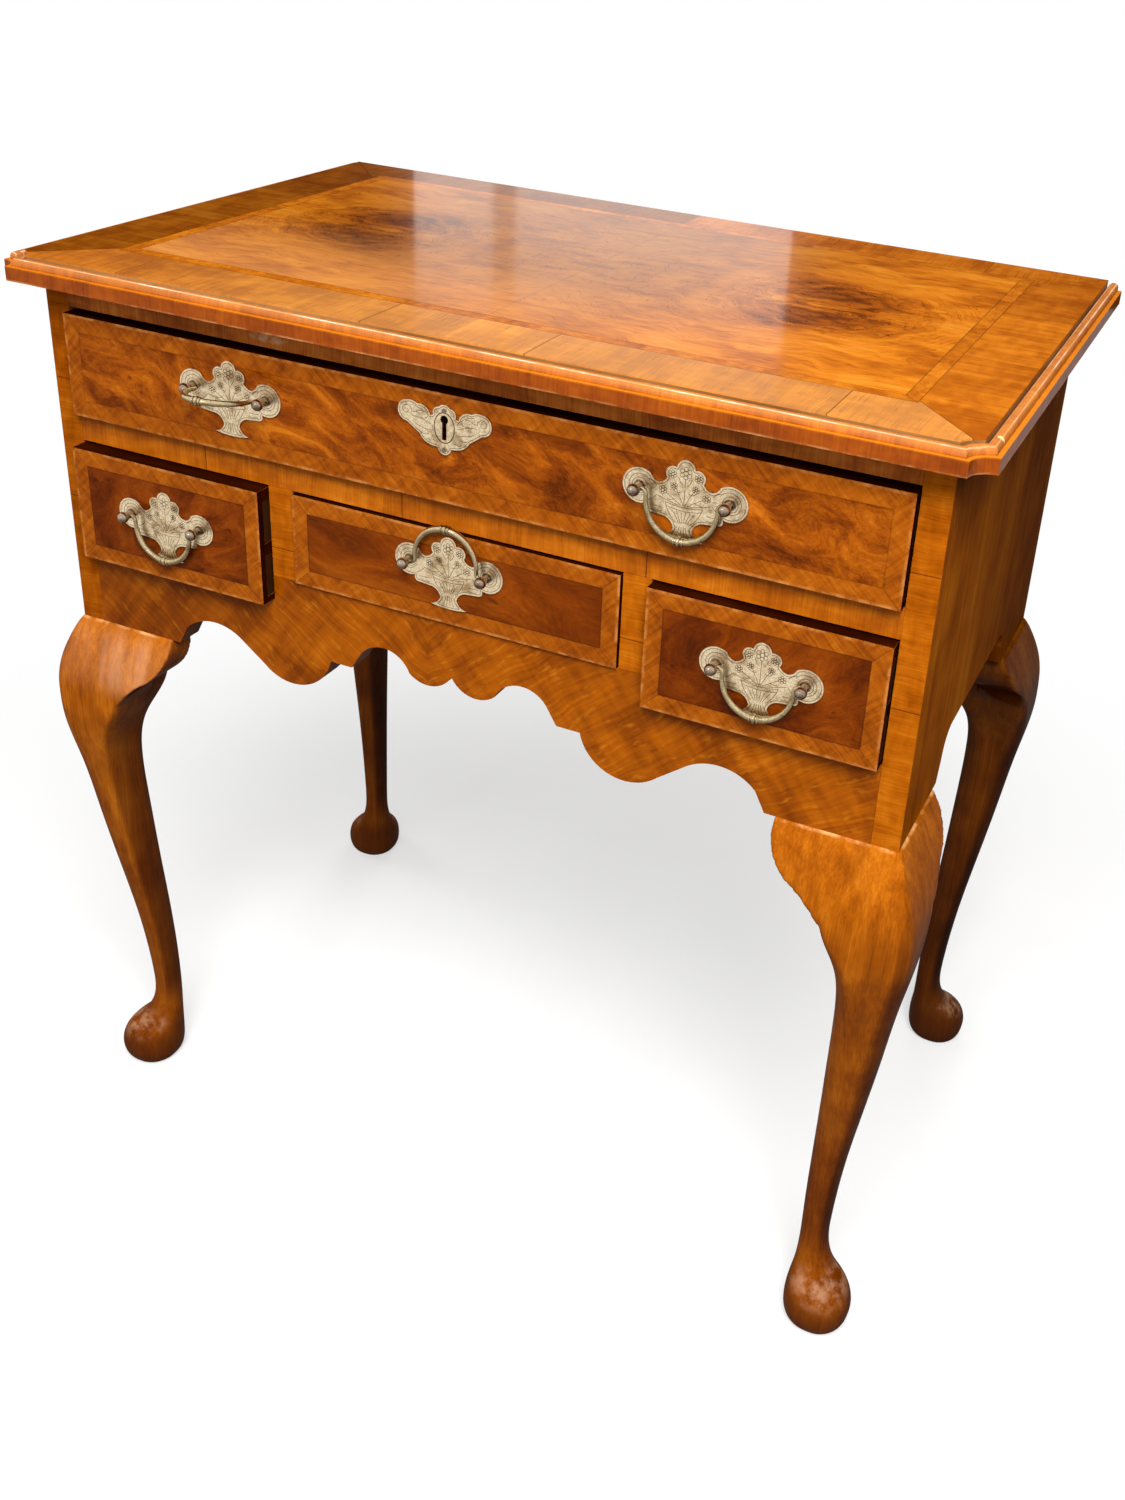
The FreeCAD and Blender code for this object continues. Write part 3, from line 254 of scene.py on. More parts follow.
def grain(g, along, across, depth, tones, reach=5.0, tight=110.0, wander=0.008, seed=0.0, contrast=0.5):
    """Straight grain: growth bands, fine lines, clouds and pores. Returns its colour and its height.

    Figure repeats reach times a metre along the grain and tight times across it.
    """
    lane = g.vector(along, across, depth)
    sway = g.field(g.scaled(lane, (reach, tight * LANE_SWAY, tight * LANE_SWAY), seed), detail=2.0)
    bent = g.vector(along, g.math("MULTIPLY_ADD", sway, wander, across), depth)
    bands = g.field(g.scaled(bent, (reach * 0.6, tight, tight), seed), detail=4.0, rough=0.62)
    fine = tight * LINES_FINER
    lines = g.field(g.scaled(bent, (reach * 2.0, fine, fine), seed + 3.0), detail=2.0)
    pores = g.field(g.scaled(bent, PORE_SCALE, seed + 5.0), detail=1.0)
    curl = g.field(g.scaled(bent, (reach * 9.0, tight * 0.3, tight * 0.3), seed + 7.0), detail=2.0)
    cloud = g.field(g.scaled(lane, (reach * 1.6, 17.0, 17.0), seed + 11.0), detail=3.0)
    mixed = figured(g, 0.5, (bands, contrast), (lines, 0.26), (curl, 0.30), (cloud, 0.50))
    colour = g.ramp(mixed, tones)
    speck = g.ease(pores, 0.60, 0.74, 0.0, 0.28)
    colour = g.tint(speck, colour, PORE_TINT)
    return colour, g.math("MULTIPLY_ADD", speck, -0.6, lines)


# Figure of burr.
BURR_PUSH = 0.05
BURR_PUSH_SCALE = 14.0
CURLS_FINER = 7.0
EYES_FINER = 3.2


def burr(g, tones, scale, seed, stretch, slant):
    """Burr on an upright face: clouded swirls drawn out on a slant, curling lines and small dark eyes."""
    along, across = turned(g, g.x, g.z, slant)
    spot = g.scaled(g.vector(g.times(along, stretch), across, 0.0), (1.0, 1.0, 1.0), seed)
    push = g.noise(spot, BURR_PUSH_SCALE, detail=2.0).outputs[1]
    moved = g.add("VectorMath", push, (BURR_PUSH,) * 3, spot, operation="MULTIPLY_ADD").outputs[0]
    cloud = g.field(moved, scale, detail=5.0, rough=0.6, twist=0.9)
    curls = g.field(moved, scale * CURLS_FINER, detail=3.0, rough=0.65, twist=2.2)
    mixed = figured(g, cloud, (curls, 0.32))
    colour = g.ramp(mixed, tones)
    cells = g.add("TexVoronoi", feature="F1")
    g.feed(cells.inputs["Vector"], moved)
    g.feed(cells.inputs["Scale"], scale * EYES_FINER)
    eye = g.ease(cells.outputs[0], 0.05, 0.22, 0.50, 0.0)
    rare = g.ease(g.field(spot, scale * 0.55, detail=1.0), 0.50, 0.62)
    colour = g.mix(g.times(eye, rare), colour, INK)
    return colour, mixed


def wear_and_highlight(g, colour, amount, pale=PALE, scale=140.0):
    """Rubs the colour pale where the mask and a broken noise agree; it paints wear and also painted
    highlights.
    """
    broken = g.field(g.vector(g.x, g.y, g.z), scale, detail=4.0, rough=0.65)
    return g.mix(g.times(amount, g.ease(broken, 0.40, 0.66)), colour, pale)


def straight(name, axes, tones, shade=None, look=None, **form):
    """A piece of straight-grained wood; axes order the grain as along, across and depth."""
    g = Graph(name)
    lanes = {"x": g.x, "y": g.y, "z": g.z}
    colour, height = grain(g, *(lanes[axis] for axis in axes), tones, **form)
    if shade:
        colour = shade(g, colour)
    return g.finish(colour, height, **(look or POLISH))


WELD_REACH = 1e-6
ARRIS_ANGLE = 50
ARRIS_STEPS = 2


def dress(names, material, edge=0.0, worn=None):
    """Gives CAD nodes a material and, where asked, a small rounded arris with a worn finish."""
    for name in names:
        piece = nodes[name]
        piece.data.materials.clear()
        piece.data.materials.append(material)
        if edge:
            weld = piece.modifiers.new("weld", "WELD")
            weld.merge_threshold = WELD_REACH
            bevel = piece.modifiers.new("arris", "BEVEL")
            bevel.width = edge
            bevel.segments = ARRIS_STEPS
            bevel.limit_method = "ANGLE"
            bevel.angle_limit = math.radians(ARRIS_ANGLE)
            bevel.harden_normals = True
            if worn:
                piece.data.materials.append(worn)
                bevel.material = 1


# The top: quartered field, featherband, crossband and moulded edge.
field_low, field_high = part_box("top_field_veneer")
cross_low, cross_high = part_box("top_crossband")
feather_low, feather_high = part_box("top_featherband")
FIELD_MID = (field_low.y + field_high.y) / 2
# Half widths of glue lines.
HAIRLINE = 0.0004
MITRE_LINE = 0.0005
# Middle of the field's rings in each quarter, before noise moves them.
RING_X = 0.245
RING_Y = 0.064
RING_SQUASH = 1.6
RING_PUSH = (0.11, 0.085, 0.0)
# Painted shade on the left of the field, and a painted reflection over its front.
FIELD_PAINTED_SHADE = tone(198, 206, 214)
FIELD_PAINTED_REFLECTION = tone(216, 160, 112)
# Butt joints between the crossband's leaves, from the middle of each run.
CROSS_JOINTS = (0.062, 0.266)
CROSS_MITRE = 1.08
LEAF_STEP = 0.37
# A painted sheen over the front run, and painted shade on the left side and back.
CROSS_PAINTED_SHEEN = tone(122, 92, 54)
CROSS_PAINTED_SHADE = tone(190, 188, 194)
FEATHER_WIDTH = feather_high.x - field_high.x
FEATHER_STRIPE = 0.0026
FEATHER_LINE = 0.0007
FEATHER_DARK = tone(96, 44, 8)
# The moulding's ledge above its underside, and a pale plug at its right front corner.
LEDGE_RISE = 0.0105
PLUG_X = 0.3665
PLUG_Y = -0.183
PLUG_RADIUS = 0.0020
PLUG = tone(236, 206, 140)
UNDER_LEDGE = tone(196, 158, 140)
# Painted light on the ledge, a painted sheen on the bead and a painted highlight along its crown.
LEDGE_PAINTED_LIGHT = tone(214, 128, 34)
BEAD_PAINTED_SHEEN = tone(206, 146, 96)
CROWN_FACING = 0.52
CROWN_PAINTED_HIGHLIGHT = tone(248, 206, 150)
CROWN_PAINTED_GLINT = tone(255, 236, 214)
TOP_ROUGH = (0.26, 0.36)


def side_mask(g, low, high, slope=1.0):
    """1 on the parts of a frame of banding that run front to back, and the distance from the mitre."""
    aside = g.times(g.minus(high.x, g.size(g.x)), slope)
    along = g.math("MINIMUM", g.minus(g.y, low.y), g.minus(high.y, g.y))
    return g.math("LESS_THAN", aside, along), g.minus(aside, along)


def top_field():
    """Four book-matched leaves with a dark eye in each half, a fine seam and short cracks."""
    g = Graph("top_field")
    across = g.size(g.x)
    ahead = g.size(g.minus(g.y, FIELD_MID))
    flat = g.vector(across, ahead, 0.0)
    push = g.noise(flat, 9.0, detail=4.0, rough=0.6).outputs[1]
    moved = g.add("VectorMath", push, RING_PUSH, flat, operation="MULTIPLY_ADD").outputs[0]
    moved_x, moved_y = g.parts(moved)[:2]
    away_x = g.minus(moved_x, RING_X)
    away_y = g.times(g.minus(moved_y, RING_Y), RING_SQUASH)
    ring = g.math("SQRT", g.plus(g.times(away_x, away_x), g.times(away_y, away_y)))
    contour = g.vector(ring, g.times(across, 0.10), g.times(ahead, 0.10))
    rings = g.field(g.scaled(contour, (70.0, 80.0, 80.0)), detail=4.0, rough=0.6)
    streak = g.field(g.scaled(moved, (14.0, 75.0, 1.0)), detail=4.0, rough=0.6)
    bands = g.math("MULTIPLY_ADD", g.ease(ring, 0.05, 0.13), g.minus(streak, rings), rings)
    lines = g.field(g.scaled(contour, (520.0, 380.0, 380.0), 4.0), detail=3.0, rough=0.6)
    cloud = g.field(g.vector(g.times(across, 0.7), ahead, 0.0), 15.0, detail=5.0, rough=0.6, twist=0.8)
    fleck = g.field(g.vector(g.times(g.x, 0.35), g.y, 0.0), 160.0, detail=3.0, rough=0.6)
    eye = g.ease(ring, 0.006, 0.080, 1.0, 0.0)
    base = g.math("MULTIPLY_ADD", eye, -0.22, 0.52)
    mixed = figured(g, base, (bands, 0.55), (lines, 0.30), (cloud, 0.56), (fleck, 0.30))
    colour = g.ramp(mixed, LEAF)
    seam = g.math("MINIMUM", across, ahead)
    colour = g.mix(g.ease(seam, 0.0002, 0.0006, 0.40, 0.0), colour, INK)
    cracks = g.field(g.vector(g.times(g.x, 0.30), g.y, 0.0), 62.0, detail=5.0, rough=0.65, twist=0.5)
    split = g.times(g.near(cracks, 0.5, 0.0065), g.ease(ring, 0.03, 0.12, 0.90, 0.0))
    colour = g.mix(split, colour, INK)
    # Painted shade, deeper on the left, and a painted reflection, a pale haze over the front of it.
    painted_shade = g.times(g.ease(g.x, 0.02, 0.24, 0.85, 0.0), g.ease(g.x, -0.30, -0.12, 0.35, 1.0))
    painted_shade = g.times(painted_shade, g.ease(g.y, -0.13, -0.02, 0.30, 1.0))
    colour = g.tint(painted_shade, colour, FIELD_PAINTED_SHADE)
    painted_reflection = g.times(g.ease(g.y, -0.12, 0.04, 0.26, 0.0), g.ease(g.x, -0.12, 0.24, 1.0, 0.0))
    colour = g.mix(painted_reflection, colour, FIELD_PAINTED_REFLECTION)
    height = g.math("MULTIPLY_ADD", split, -0.5, lines)
    return g.finish(colour, height, bump=0.05, rough=(0.26, 0.34), **GLOSS)


def top_crossband():
    """Cross-grained leaves round the field, numbered to shift grain and tone; painted sheen in front,
    painted shade on the left.
    """
    g = Graph("top_crossband")
    side, mitre = side_mask(g, cross_low, cross_high, CROSS_MITRE)
    run = g.pick(side, g.vector(g.y, g.x, 0.0), g.vector(g.x, g.minus(g.y, FIELD_MID), 0.0))
    along, across = g.parts(run)[:2]
    far = g.size(across)
    inner, outer = (g.math("GREATER_THAN", far, place) for place in CROSS_JOINTS)
    hand = g.math("SIGN", across)
    rear = g.math("GREATER_THAN", g.y, FIELD_MID)
    leaf = g.plus(inner, outer)
    for mark, weight in ((hand, 3.0), (side, 11.0), (rear, 23.0)):
        leaf = g.plus(leaf, g.times(mark, weight))
    chance = g.add("TexWhiteNoise", noise_dimensions="1D")
    g.feed(chance.inputs["W"], leaf)
    shift = g.times(leaf, LEAF_STEP)
    colour, height = grain(g, g.plus(along, shift), g.plus(across, shift), 0.0, LEAF[1:],
                           reach=12.0, tight=170.0, wander=0.006, contrast=0.35)
    shade = g.ramp(chance.outputs[0], [(0.0, tone(226, 216, 208)), (1.0, tone(255, 255, 255))])
    colour = g.mix(1.0, colour, shade, "MULTIPLY")
    # Painted sheen over the front run, less towards the left.
    front = g.times(g.minus(1.0, side), g.minus(1.0, rear))
    front = g.times(front, g.ease(g.x, -0.34, -0.05, 0.25, 1.0))
    colour = g.mix(front, colour, CROSS_PAINTED_SHEEN, "SCREEN")
    # Painted shade on the left side and the left of the back.
    left = g.times(g.math("LESS_THAN", g.x, 0.0), g.math("MAXIMUM", side, rear))
    colour = g.tint(left, colour, CROSS_PAINTED_SHADE)
    joint = g.math("MAXIMUM", *(g.near(far, place, HAIRLINE) for place in CROSS_JOINTS))
    joint = g.math("MAXIMUM", joint, g.near(mitre, 0.0, MITRE_LINE))
    colour = g.mix(g.times(joint, 0.7), colour, INK)
    return g.finish(colour, height, bump=0.05, rough=TOP_ROUGH, **GLOSS)


def top_featherband():
    """Two rows of slanting stripes that meet in the middle of the band."""
    g = Graph("top_featherband")
    side, mitre = side_mask(g, feather_low, feather_high)
    edge_x = g.minus(feather_high.x, g.size(g.x))
    edge_y = g.math("MINIMUM", g.minus(g.y, feather_low.y), g.minus(feather_high.y, g.y))
    run = g.pick(side, g.vector(g.x, edge_y, 0.0), g.vector(g.y, edge_x, 0.0))
    along, across = g.parts(run)[:2]
    fold = g.size(g.minus(across, FEATHER_WIDTH / 2))
    slant = g.plus(along, fold)
    colour, height = grain(g, g.minus(along, fold), slant, across, LEAF,
                           reach=14.0, tight=220.0, contrast=0.3)
    stripe = g.math("SINE", g.times(slant, 2 * math.pi / FEATHER_STRIPE))
    colour = g.mix(g.ease(stripe, 0.1, 0.9, 0.0, 0.18), colour, FEATHER_DARK)
    line = g.math("MAXIMUM", *(g.near(across, edge, FEATHER_LINE) for edge in (0.0, FEATHER_WIDTH)))
    line = g.math("MAXIMUM", line, g.near(mitre, 0.0, HAIRLINE))
    colour = g.mix(g.times(line, 0.6), colour, INK)
    return g.finish(colour, height, bump=0.05, rough=TOP_ROUGH, **GLOSS)


def top_moulding():
    """Square edge, painted light on the ledge, and a bead with a painted sheen and a bright painted
    highlight on its crown.
    """
    g = Graph("top_moulding")
    low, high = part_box("top_edge_moulding")
    ledge = low.z + LEDGE_RISE
    side = side_mask(g, low, high)[0]
    run = g.pick(side, g.vector(g.plus(g.z, g.y), g.x, 0.0), g.vector(g.plus(g.z, g.x), g.y, 0.0))
    along, across = g.parts(run)[:2]
    colour, height = grain(g, along, across, 0.0, BAND,
                           reach=14.0, tight=260.0, wander=0.004, contrast=0.35)
    under = g.ease(g.z, ledge - 0.0012, ledge - 0.0004, 0.75, 0.0)
    colour = g.tint(under, colour, UNDER_LEDGE)
    # Painted light on the ledge's upper face.
    painted_ledge_light = g.ease(g.size(g.minus(g.z, ledge)), 0.0003, 0.0009, 1.0, 0.0)
    painted_ledge_light = g.times(painted_ledge_light, g.ease(g.facing[2], 0.6, 0.9))
    colour = g.mix(g.times(painted_ledge_light, 0.60), colour, LEDGE_PAINTED_LIGHT)
    # A painted sheen on the bead.
    bead = g.ease(g.z, ledge + 0.0004, ledge + 0.0016)
    colour = g.mix(g.times(bead, 0.24), colour, BEAD_PAINTED_SHEEN)
    # A painted highlight along the bead's crown, broken in places.
    outward = g.math("MAXIMUM", g.size(g.facing[0]), g.size(g.facing[1]))
    off_crown = g.size(g.minus(outward, CROWN_FACING))
    painted_crown_highlight = g.times(bead, g.ease(off_crown, 0.04, 0.18, 1.0, 0.0))
    painted_crown_highlight = g.times(painted_crown_highlight, g.ease(g.facing[2], 0.3, 0.5))
    colour = g.mix(g.times(painted_crown_highlight, 0.24), colour, CROWN_PAINTED_HIGHLIGHT)
    colour = wear_and_highlight(g, colour, g.times(painted_crown_highlight, 0.55), CROWN_PAINTED_GLINT, 24.0)
    colour = wear_and_highlight(g, colour, g.ease(g.minus(g.z, low.z), 0.0, 0.0018, 0.55, 0.0), scale=40.0)
    aside = g.vector(g.minus(g.x, PLUG_X), g.minus(g.y, PLUG_Y), 0.0)
    reach = g.length(aside)
    plug = g.ease(reach, PLUG_RADIUS, PLUG_RADIUS * 1.3, 0.9, 0.0)
    colour = g.mix(plug, colour, PLUG)
    return g.finish(colour, height, bump=0.06, rough=(0.26, 0.38), **BEADED)


# Case woods.
side_low, side_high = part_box("right_side")
SCUFF_X = -0.146
SCUFF_Z = 0.7365
SCUFF_SQUASH = 5.0
SCUFF = tone(206, 158, 118)
RAIL_JOINTS = (-0.21, -0.04, 0.15)
STILE_JOINTS = (0.575, 0.672)
LEFT_STILE_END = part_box("left_stile")[1].x + MM
# Painted shade on the left stile and towards the back of the sides.
STILE_PAINTED_SHADE = tone(222, 212, 196)
SIDE_PAINTED_SHADE = tone(150, 140, 130)
FLANK = {"reach": 3.0, "tight": 75.0, "wander": 0.02, "contrast": 0.3}
# Drawer sides just behind the front's face: dark stain and painted shade.
TAIL_DARK_REACH = 0.0138
TAIL_STAIN_AND_SHADE = tone(34, 15, 5)


def frieze_shade(g, colour):
    """A pale scuff near the left end."""
    place = g.vector(g.minus(g.x, SCUFF_X), g.times(g.minus(g.z, SCUFF_Z), SCUFF_SQUASH), 0.0)
    reach = g.length(place)
    return wear_and_highlight(g, colour, g.ease(reach, 0.010, 0.022, 1.0, 0.0), SCUFF, 120.0)


def joints_along(g, colour, lane, places):
    """Dark hairlines where leaves of banding meet."""
    for place in places:
        colour = g.mix(g.times(g.near(lane, place, HAIRLINE), 0.65), colour, INK)
    return colour


def rail_shade(g, colour):
    """The leaves of the middle rail's banding."""
    return joints_along(g, colour, g.x, RAIL_JOINTS)


def side_shade(g, colour):
    """Painted shade, darker towards the back."""
    painted_shade = g.ease(g.y, side_low.y, side_high.y, 0.0, 0.75)
    return g.tint(painted_shade, colour, SIDE_PAINTED_SHADE)


def stile_shade(g, colour):
    """Cross-grained front leaves, with painted shade on the left stile, and the side's upright grain on the
    outer face.
    """
    colour = joints_along(g, colour, g.z, STILE_JOINTS)
    # Painted shade on the left stile.
    colour = g.tint(g.math("LESS_THAN", g.x, LEFT_STILE_END), colour, STILE_PAINTED_SHADE)
    flank = grain(g, g.z, g.y, g.x, SIDE, **FLANK)[0]
    return g.mix(g.math("GREATER_THAN", g.size(g.facing[0]), 0.7), colour, side_shade(g, flank))


def tails_stained_and_shaded(level):
    """Drawer sides whose first stretch behind the front's face is darkened by stain and painted shade."""
    end = level + TAIL_DARK_REACH

    def shade(g, colour):
        return g.mix(g.ease(g.y, end, end + MM, 0.97, 0.0), colour, TAIL_STAIN_AND_SHADE)
    return shade


def quirk_painted_shade(g, colour):
    """Painted shade on the upward face, which shows only in the quirk beside the bead."""
    return g.mix(g.ease(g.facing[2], 0.5, 0.9, 0.0, 0.95), colour, INK)


# Legs: heights above the floor, and tones.
KNEE_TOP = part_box("knee_brackets")[1].z
KNEE_SHEEN = 0.440
SHIN_TOP = 0.42
SHIN_END = 0.10
FOOT_TOP = 0.060
TOE_TOP = 0.045
# Painted shade on the shins, on faces to the right and round the foot; wear with a painted sheen on the toe;
# a painted sheen on the left knees.
SHIN_PAINTED_SHADE = tone(176, 160, 150)
LEG_CLOUD = tone(104, 50, 6)
LEG_PAINTED_SHADE = tone(158, 146, 130)
FOOT_PAINTED_SHADE = tone(74, 32, 6)
TOE_WEAR_AND_SHEEN = tone(202, 154, 120)
KNEE_PAINTED_SHEEN = tone(238, 190, 150)


def leg_shade(g, colour):
    """Mottling and painted shade on the legs: browner towards the floor and on faces to the right, dark
    round the foot; the toe worn, with a painted sheen.

    The left knees have a painted sheen, and the front knees a pale worn edge on top with a painted
    highlight.
    """
    # Painted shade, browner towards the floor.
    painted_low_shade = g.ease(g.z, SHIN_END, SHIN_TOP, 0.80, 0.0)
    colour = g.tint(painted_low_shade, colour, SHIN_PAINTED_SHADE)
    cloud = g.field(g.vector(g.x, g.y, g.times(g.z, 0.5)), 26.0, detail=4.0)
    colour = g.mix(g.ease(cloud, 0.50, 0.72, 0.0, 0.20), colour, LEG_CLOUD)
    # Painted shade on faces to the right.
    painted_side_shade = g.times(g.ease(g.facing[0], 0.20, 0.70, 0.0, 0.95), g.ease(g.z, 0.36, 0.44, 1.0, 0.0))
    painted_side_shade = g.times(painted_side_shade, g.ease(g.z, 0.05, 0.09))
    colour = g.tint(painted_side_shade, colour, LEG_PAINTED_SHADE)
    # Painted shade round the sides of the foot.
    side = g.ease(g.size(g.facing[2]), 0.15, 0.75, 1.0, 0.0)
    low = g.ease(g.z, FOOT_TOP / 2, FOOT_TOP, 1.0, 0.0)
    colour = g.mix(g.times(g.times(side, low), 0.55), colour, FOOT_PAINTED_SHADE)
    # Wear with a painted sheen on top of the toe.
    toe = g.ease(g.z, TOE_TOP, FOOT_TOP - 2 * MM, 1.0, 0.0)
    toe = g.times(toe, g.ease(g.facing[2], 0.30, 0.85, 0.0, 0.50))
    colour = wear_and_highlight(g, colour, toe, TOE_WEAR_AND_SHEEN, 80.0)
    # A painted sheen on the left knees.
    knee = g.ease(g.size(g.minus(g.z, KNEE_SHEEN)), 0.010, 0.034, 1.0, 0.0)
    knee = g.times(knee, g.math("LESS_THAN", g.facing[1], -0.3))
    stripe = g.field(g.vector(g.times(g.x, 60.0), g.times(g.z, 6.0), 0.0), detail=2.0)
    knee = g.times(knee, g.ease(stripe, 0.40, 0.62, 0.25, 1.0))
    knee = g.times(knee, g.math("LESS_THAN", g.x, 0.0))
    colour = g.mix(g.times(knee, 0.22), colour, KNEE_PAINTED_SHEEN)
    # A pale worn edge with a painted highlight on top of the front knees.
    knee_edge_wear_and_highlight = g.ease(g.size(g.minus(g.z, KNEE_TOP)), 0.0006, 0.0022, 0.9, 0.0)
    return wear_and_highlight(g, colour, g.times(knee_edge_wear_and_highlight, g.math("LESS_THAN", g.y, 0.0)), scale=60.0)


# Apron.
APRON_SLANT = 38
APRON_SEAM = -0.02
APRON_SWIRL = 0.035
APRON_FLECK = tone(206, 126, 26)
# Painted shade on the left of the apron.
APRON_PAINTED_SHADE = tone(186, 172, 158)


def apron():
    """Slanting, swirled grain, mirrored about a seam near the middle, with painted shade on the left."""
    g = Graph("apron")
    along, across = turned(g, g.size(g.minus(g.x, APRON_SEAM)), g.z, APRON_SLANT)
    swirl = g.field(g.vector(g.x, g.z, 0.0), 9.0, detail=2.0)
    across = g.math("MULTIPLY_ADD", swirl, APRON_SWIRL, across)
    colour, height = grain(g, along, across, g.y, APRON,
                           reach=11.0, tight=70.0, wander=0.012, contrast=0.28)
    fleck = g.field(g.scaled(g.vector(along, across, 0.0), (60.0, 190.0, 1.0)), detail=3.0)
    colour = g.mix(g.ease(fleck, 0.56, 0.72, 0.0, 0.35), colour, APRON_FLECK)
    # Painted shade, deeper on the left.
    painted_shade = g.ease(g.x, -0.36, -0.04, 0.55, 0.0)
    colour = g.tint(painted_shade, colour, APRON_PAINTED_SHADE)
    return g.finish(colour, height, bump=0.08, **POLISH)


# Carved legs: each leg and the ears glued to it are shown as one form, blended over the joint.
KNEE_DEPTH = 0.045
EAR_LAP = 0.9 * MM
SEAM_PLAY = 1e-4
GRAIN_OF_CARVING = 0.0015
BLEND_FOOT = 0.34
BLEND_REACH = 0.009
BLEND_ROUNDS = 14
BLEND_PULL = 0.6
BLEND_LEAST = 0.12


def shown(name, data):
    """A new object in the scene."""
    piece = bpy.data.objects.new(name, data)
    bpy.context.scene.collection.objects.link(piece)
    return piece


def leg_with_ears(name, hand, ahead, seam_x):
    """One loose mesh of a leg and its own ears, which lap a little into the leg."""
    work = bmesh.new()
    work.from_mesh(nodes["knee_brackets"].data)
    other = [face for face in work.faces
             if face.calc_center_median().x * hand < 0 or (face.calc_center_median().y < 0) != ahead]
    bmesh.ops.delete(work, geom=other, context="FACES")
    for corner in work.verts:
        if corner.co.x * hand < seam_x * hand + SEAM_PLAY:
            corner.co.x += hand * EAR_LAP
        else:
            corner.co.y += -EAR_LAP if ahead else EAR_LAP
    work.from_mesh(nodes[name + "_leg"].data)
    rough = bpy.data.meshes.new(name + "_rough")
    work.to_mesh(rough)
    work.free()
    return rough


def closed_skin(name, rough):
    """The closed skin round a loose mesh, which it replaces."""
    block = shown(name + "_block", rough)
    remesh = block.modifiers.new("carve", "REMESH")
    remesh.mode = "VOXEL"
    remesh.voxel_size = GRAIN_OF_CARVING
    shaped = block.evaluated_get(bpy.context.evaluated_depsgraph_get())
    skin = bpy.data.meshes.new_from_object(shaped)
    bpy.data.objects.remove(block)
    bpy.data.meshes.remove(rough)
    return skin


def blend_seams(mesh, seam_x, seam_y):
    """Smooths a mesh, most along the seams at the knee, and keeps its foot on the floor."""
    work = bmesh.new()
    work.from_mesh(mesh)
    share = {}
    for corner in work.verts:
        gap = min(abs(corner.co.x - seam_x), abs(corner.co.y - seam_y))
        at_knee = BLEND_FOOT < corner.co.z < KNEE_TOP - MM
        share[corner] = max(BLEND_LEAST, 1 - gap / BLEND_REACH) if at_knee else BLEND_LEAST
    for _ in range(BLEND_ROUNDS):
        moved = {}
        for corner in work.verts:
            around = [edge.other_vert(corner).co for edge in corner.link_edges]
            middle = sum(around, Vector()) / len(around)
            moved[corner] = corner.co.lerp(middle, BLEND_PULL * share[corner])
        for corner, spot in moved.items():
            corner.co = spot
    for corner in work.verts:
        corner.co.z = max(corner.co.z, 0.0)
    work.to_mesh(mesh)
    work.free()


def carved_leg(name, hand, ahead, material):
    """One closed form from a leg and its ears; hand is the side in x, ahead is True for a front leg."""
    leg = name + "_leg"
    seam_x = hand * (side_high.x - KNEE_DEPTH)
    seam_y = side_low.y + KNEE_DEPTH if ahead else side_high.y - KNEE_DEPTH
    carved = closed_skin(name, leg_with_ears(name, hand, ahead, seam_x))
    blend_seams(carved, seam_x, seam_y)
    carved.name = name + "_carved_leg"
    carved.materials.clear()
    carved.materials.append(material)
    for face in carved.polygons:
        face.use_smooth = True
    piece = shown(name + "_carved_leg", carved)
    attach(piece, "case")
    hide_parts(leg, "knee_brackets")


# Drawer fronts: burr fields in a mitred, slanting band.
BAND_WIDTH = 0.013
BAND_STRIPE = 0.0038
BAND_DARK = tone(112, 52, 6)
FIELD_EDGE = 0.02
FIELD_EDGE_DARK = tone(150, 130, 120)
FRONT_RUB = tone(196, 130, 66)
# Edges of the board behind the veneer: stain and painted shade.
RIM_STAIN_AND_SHADE = tone(104, 90, 82)


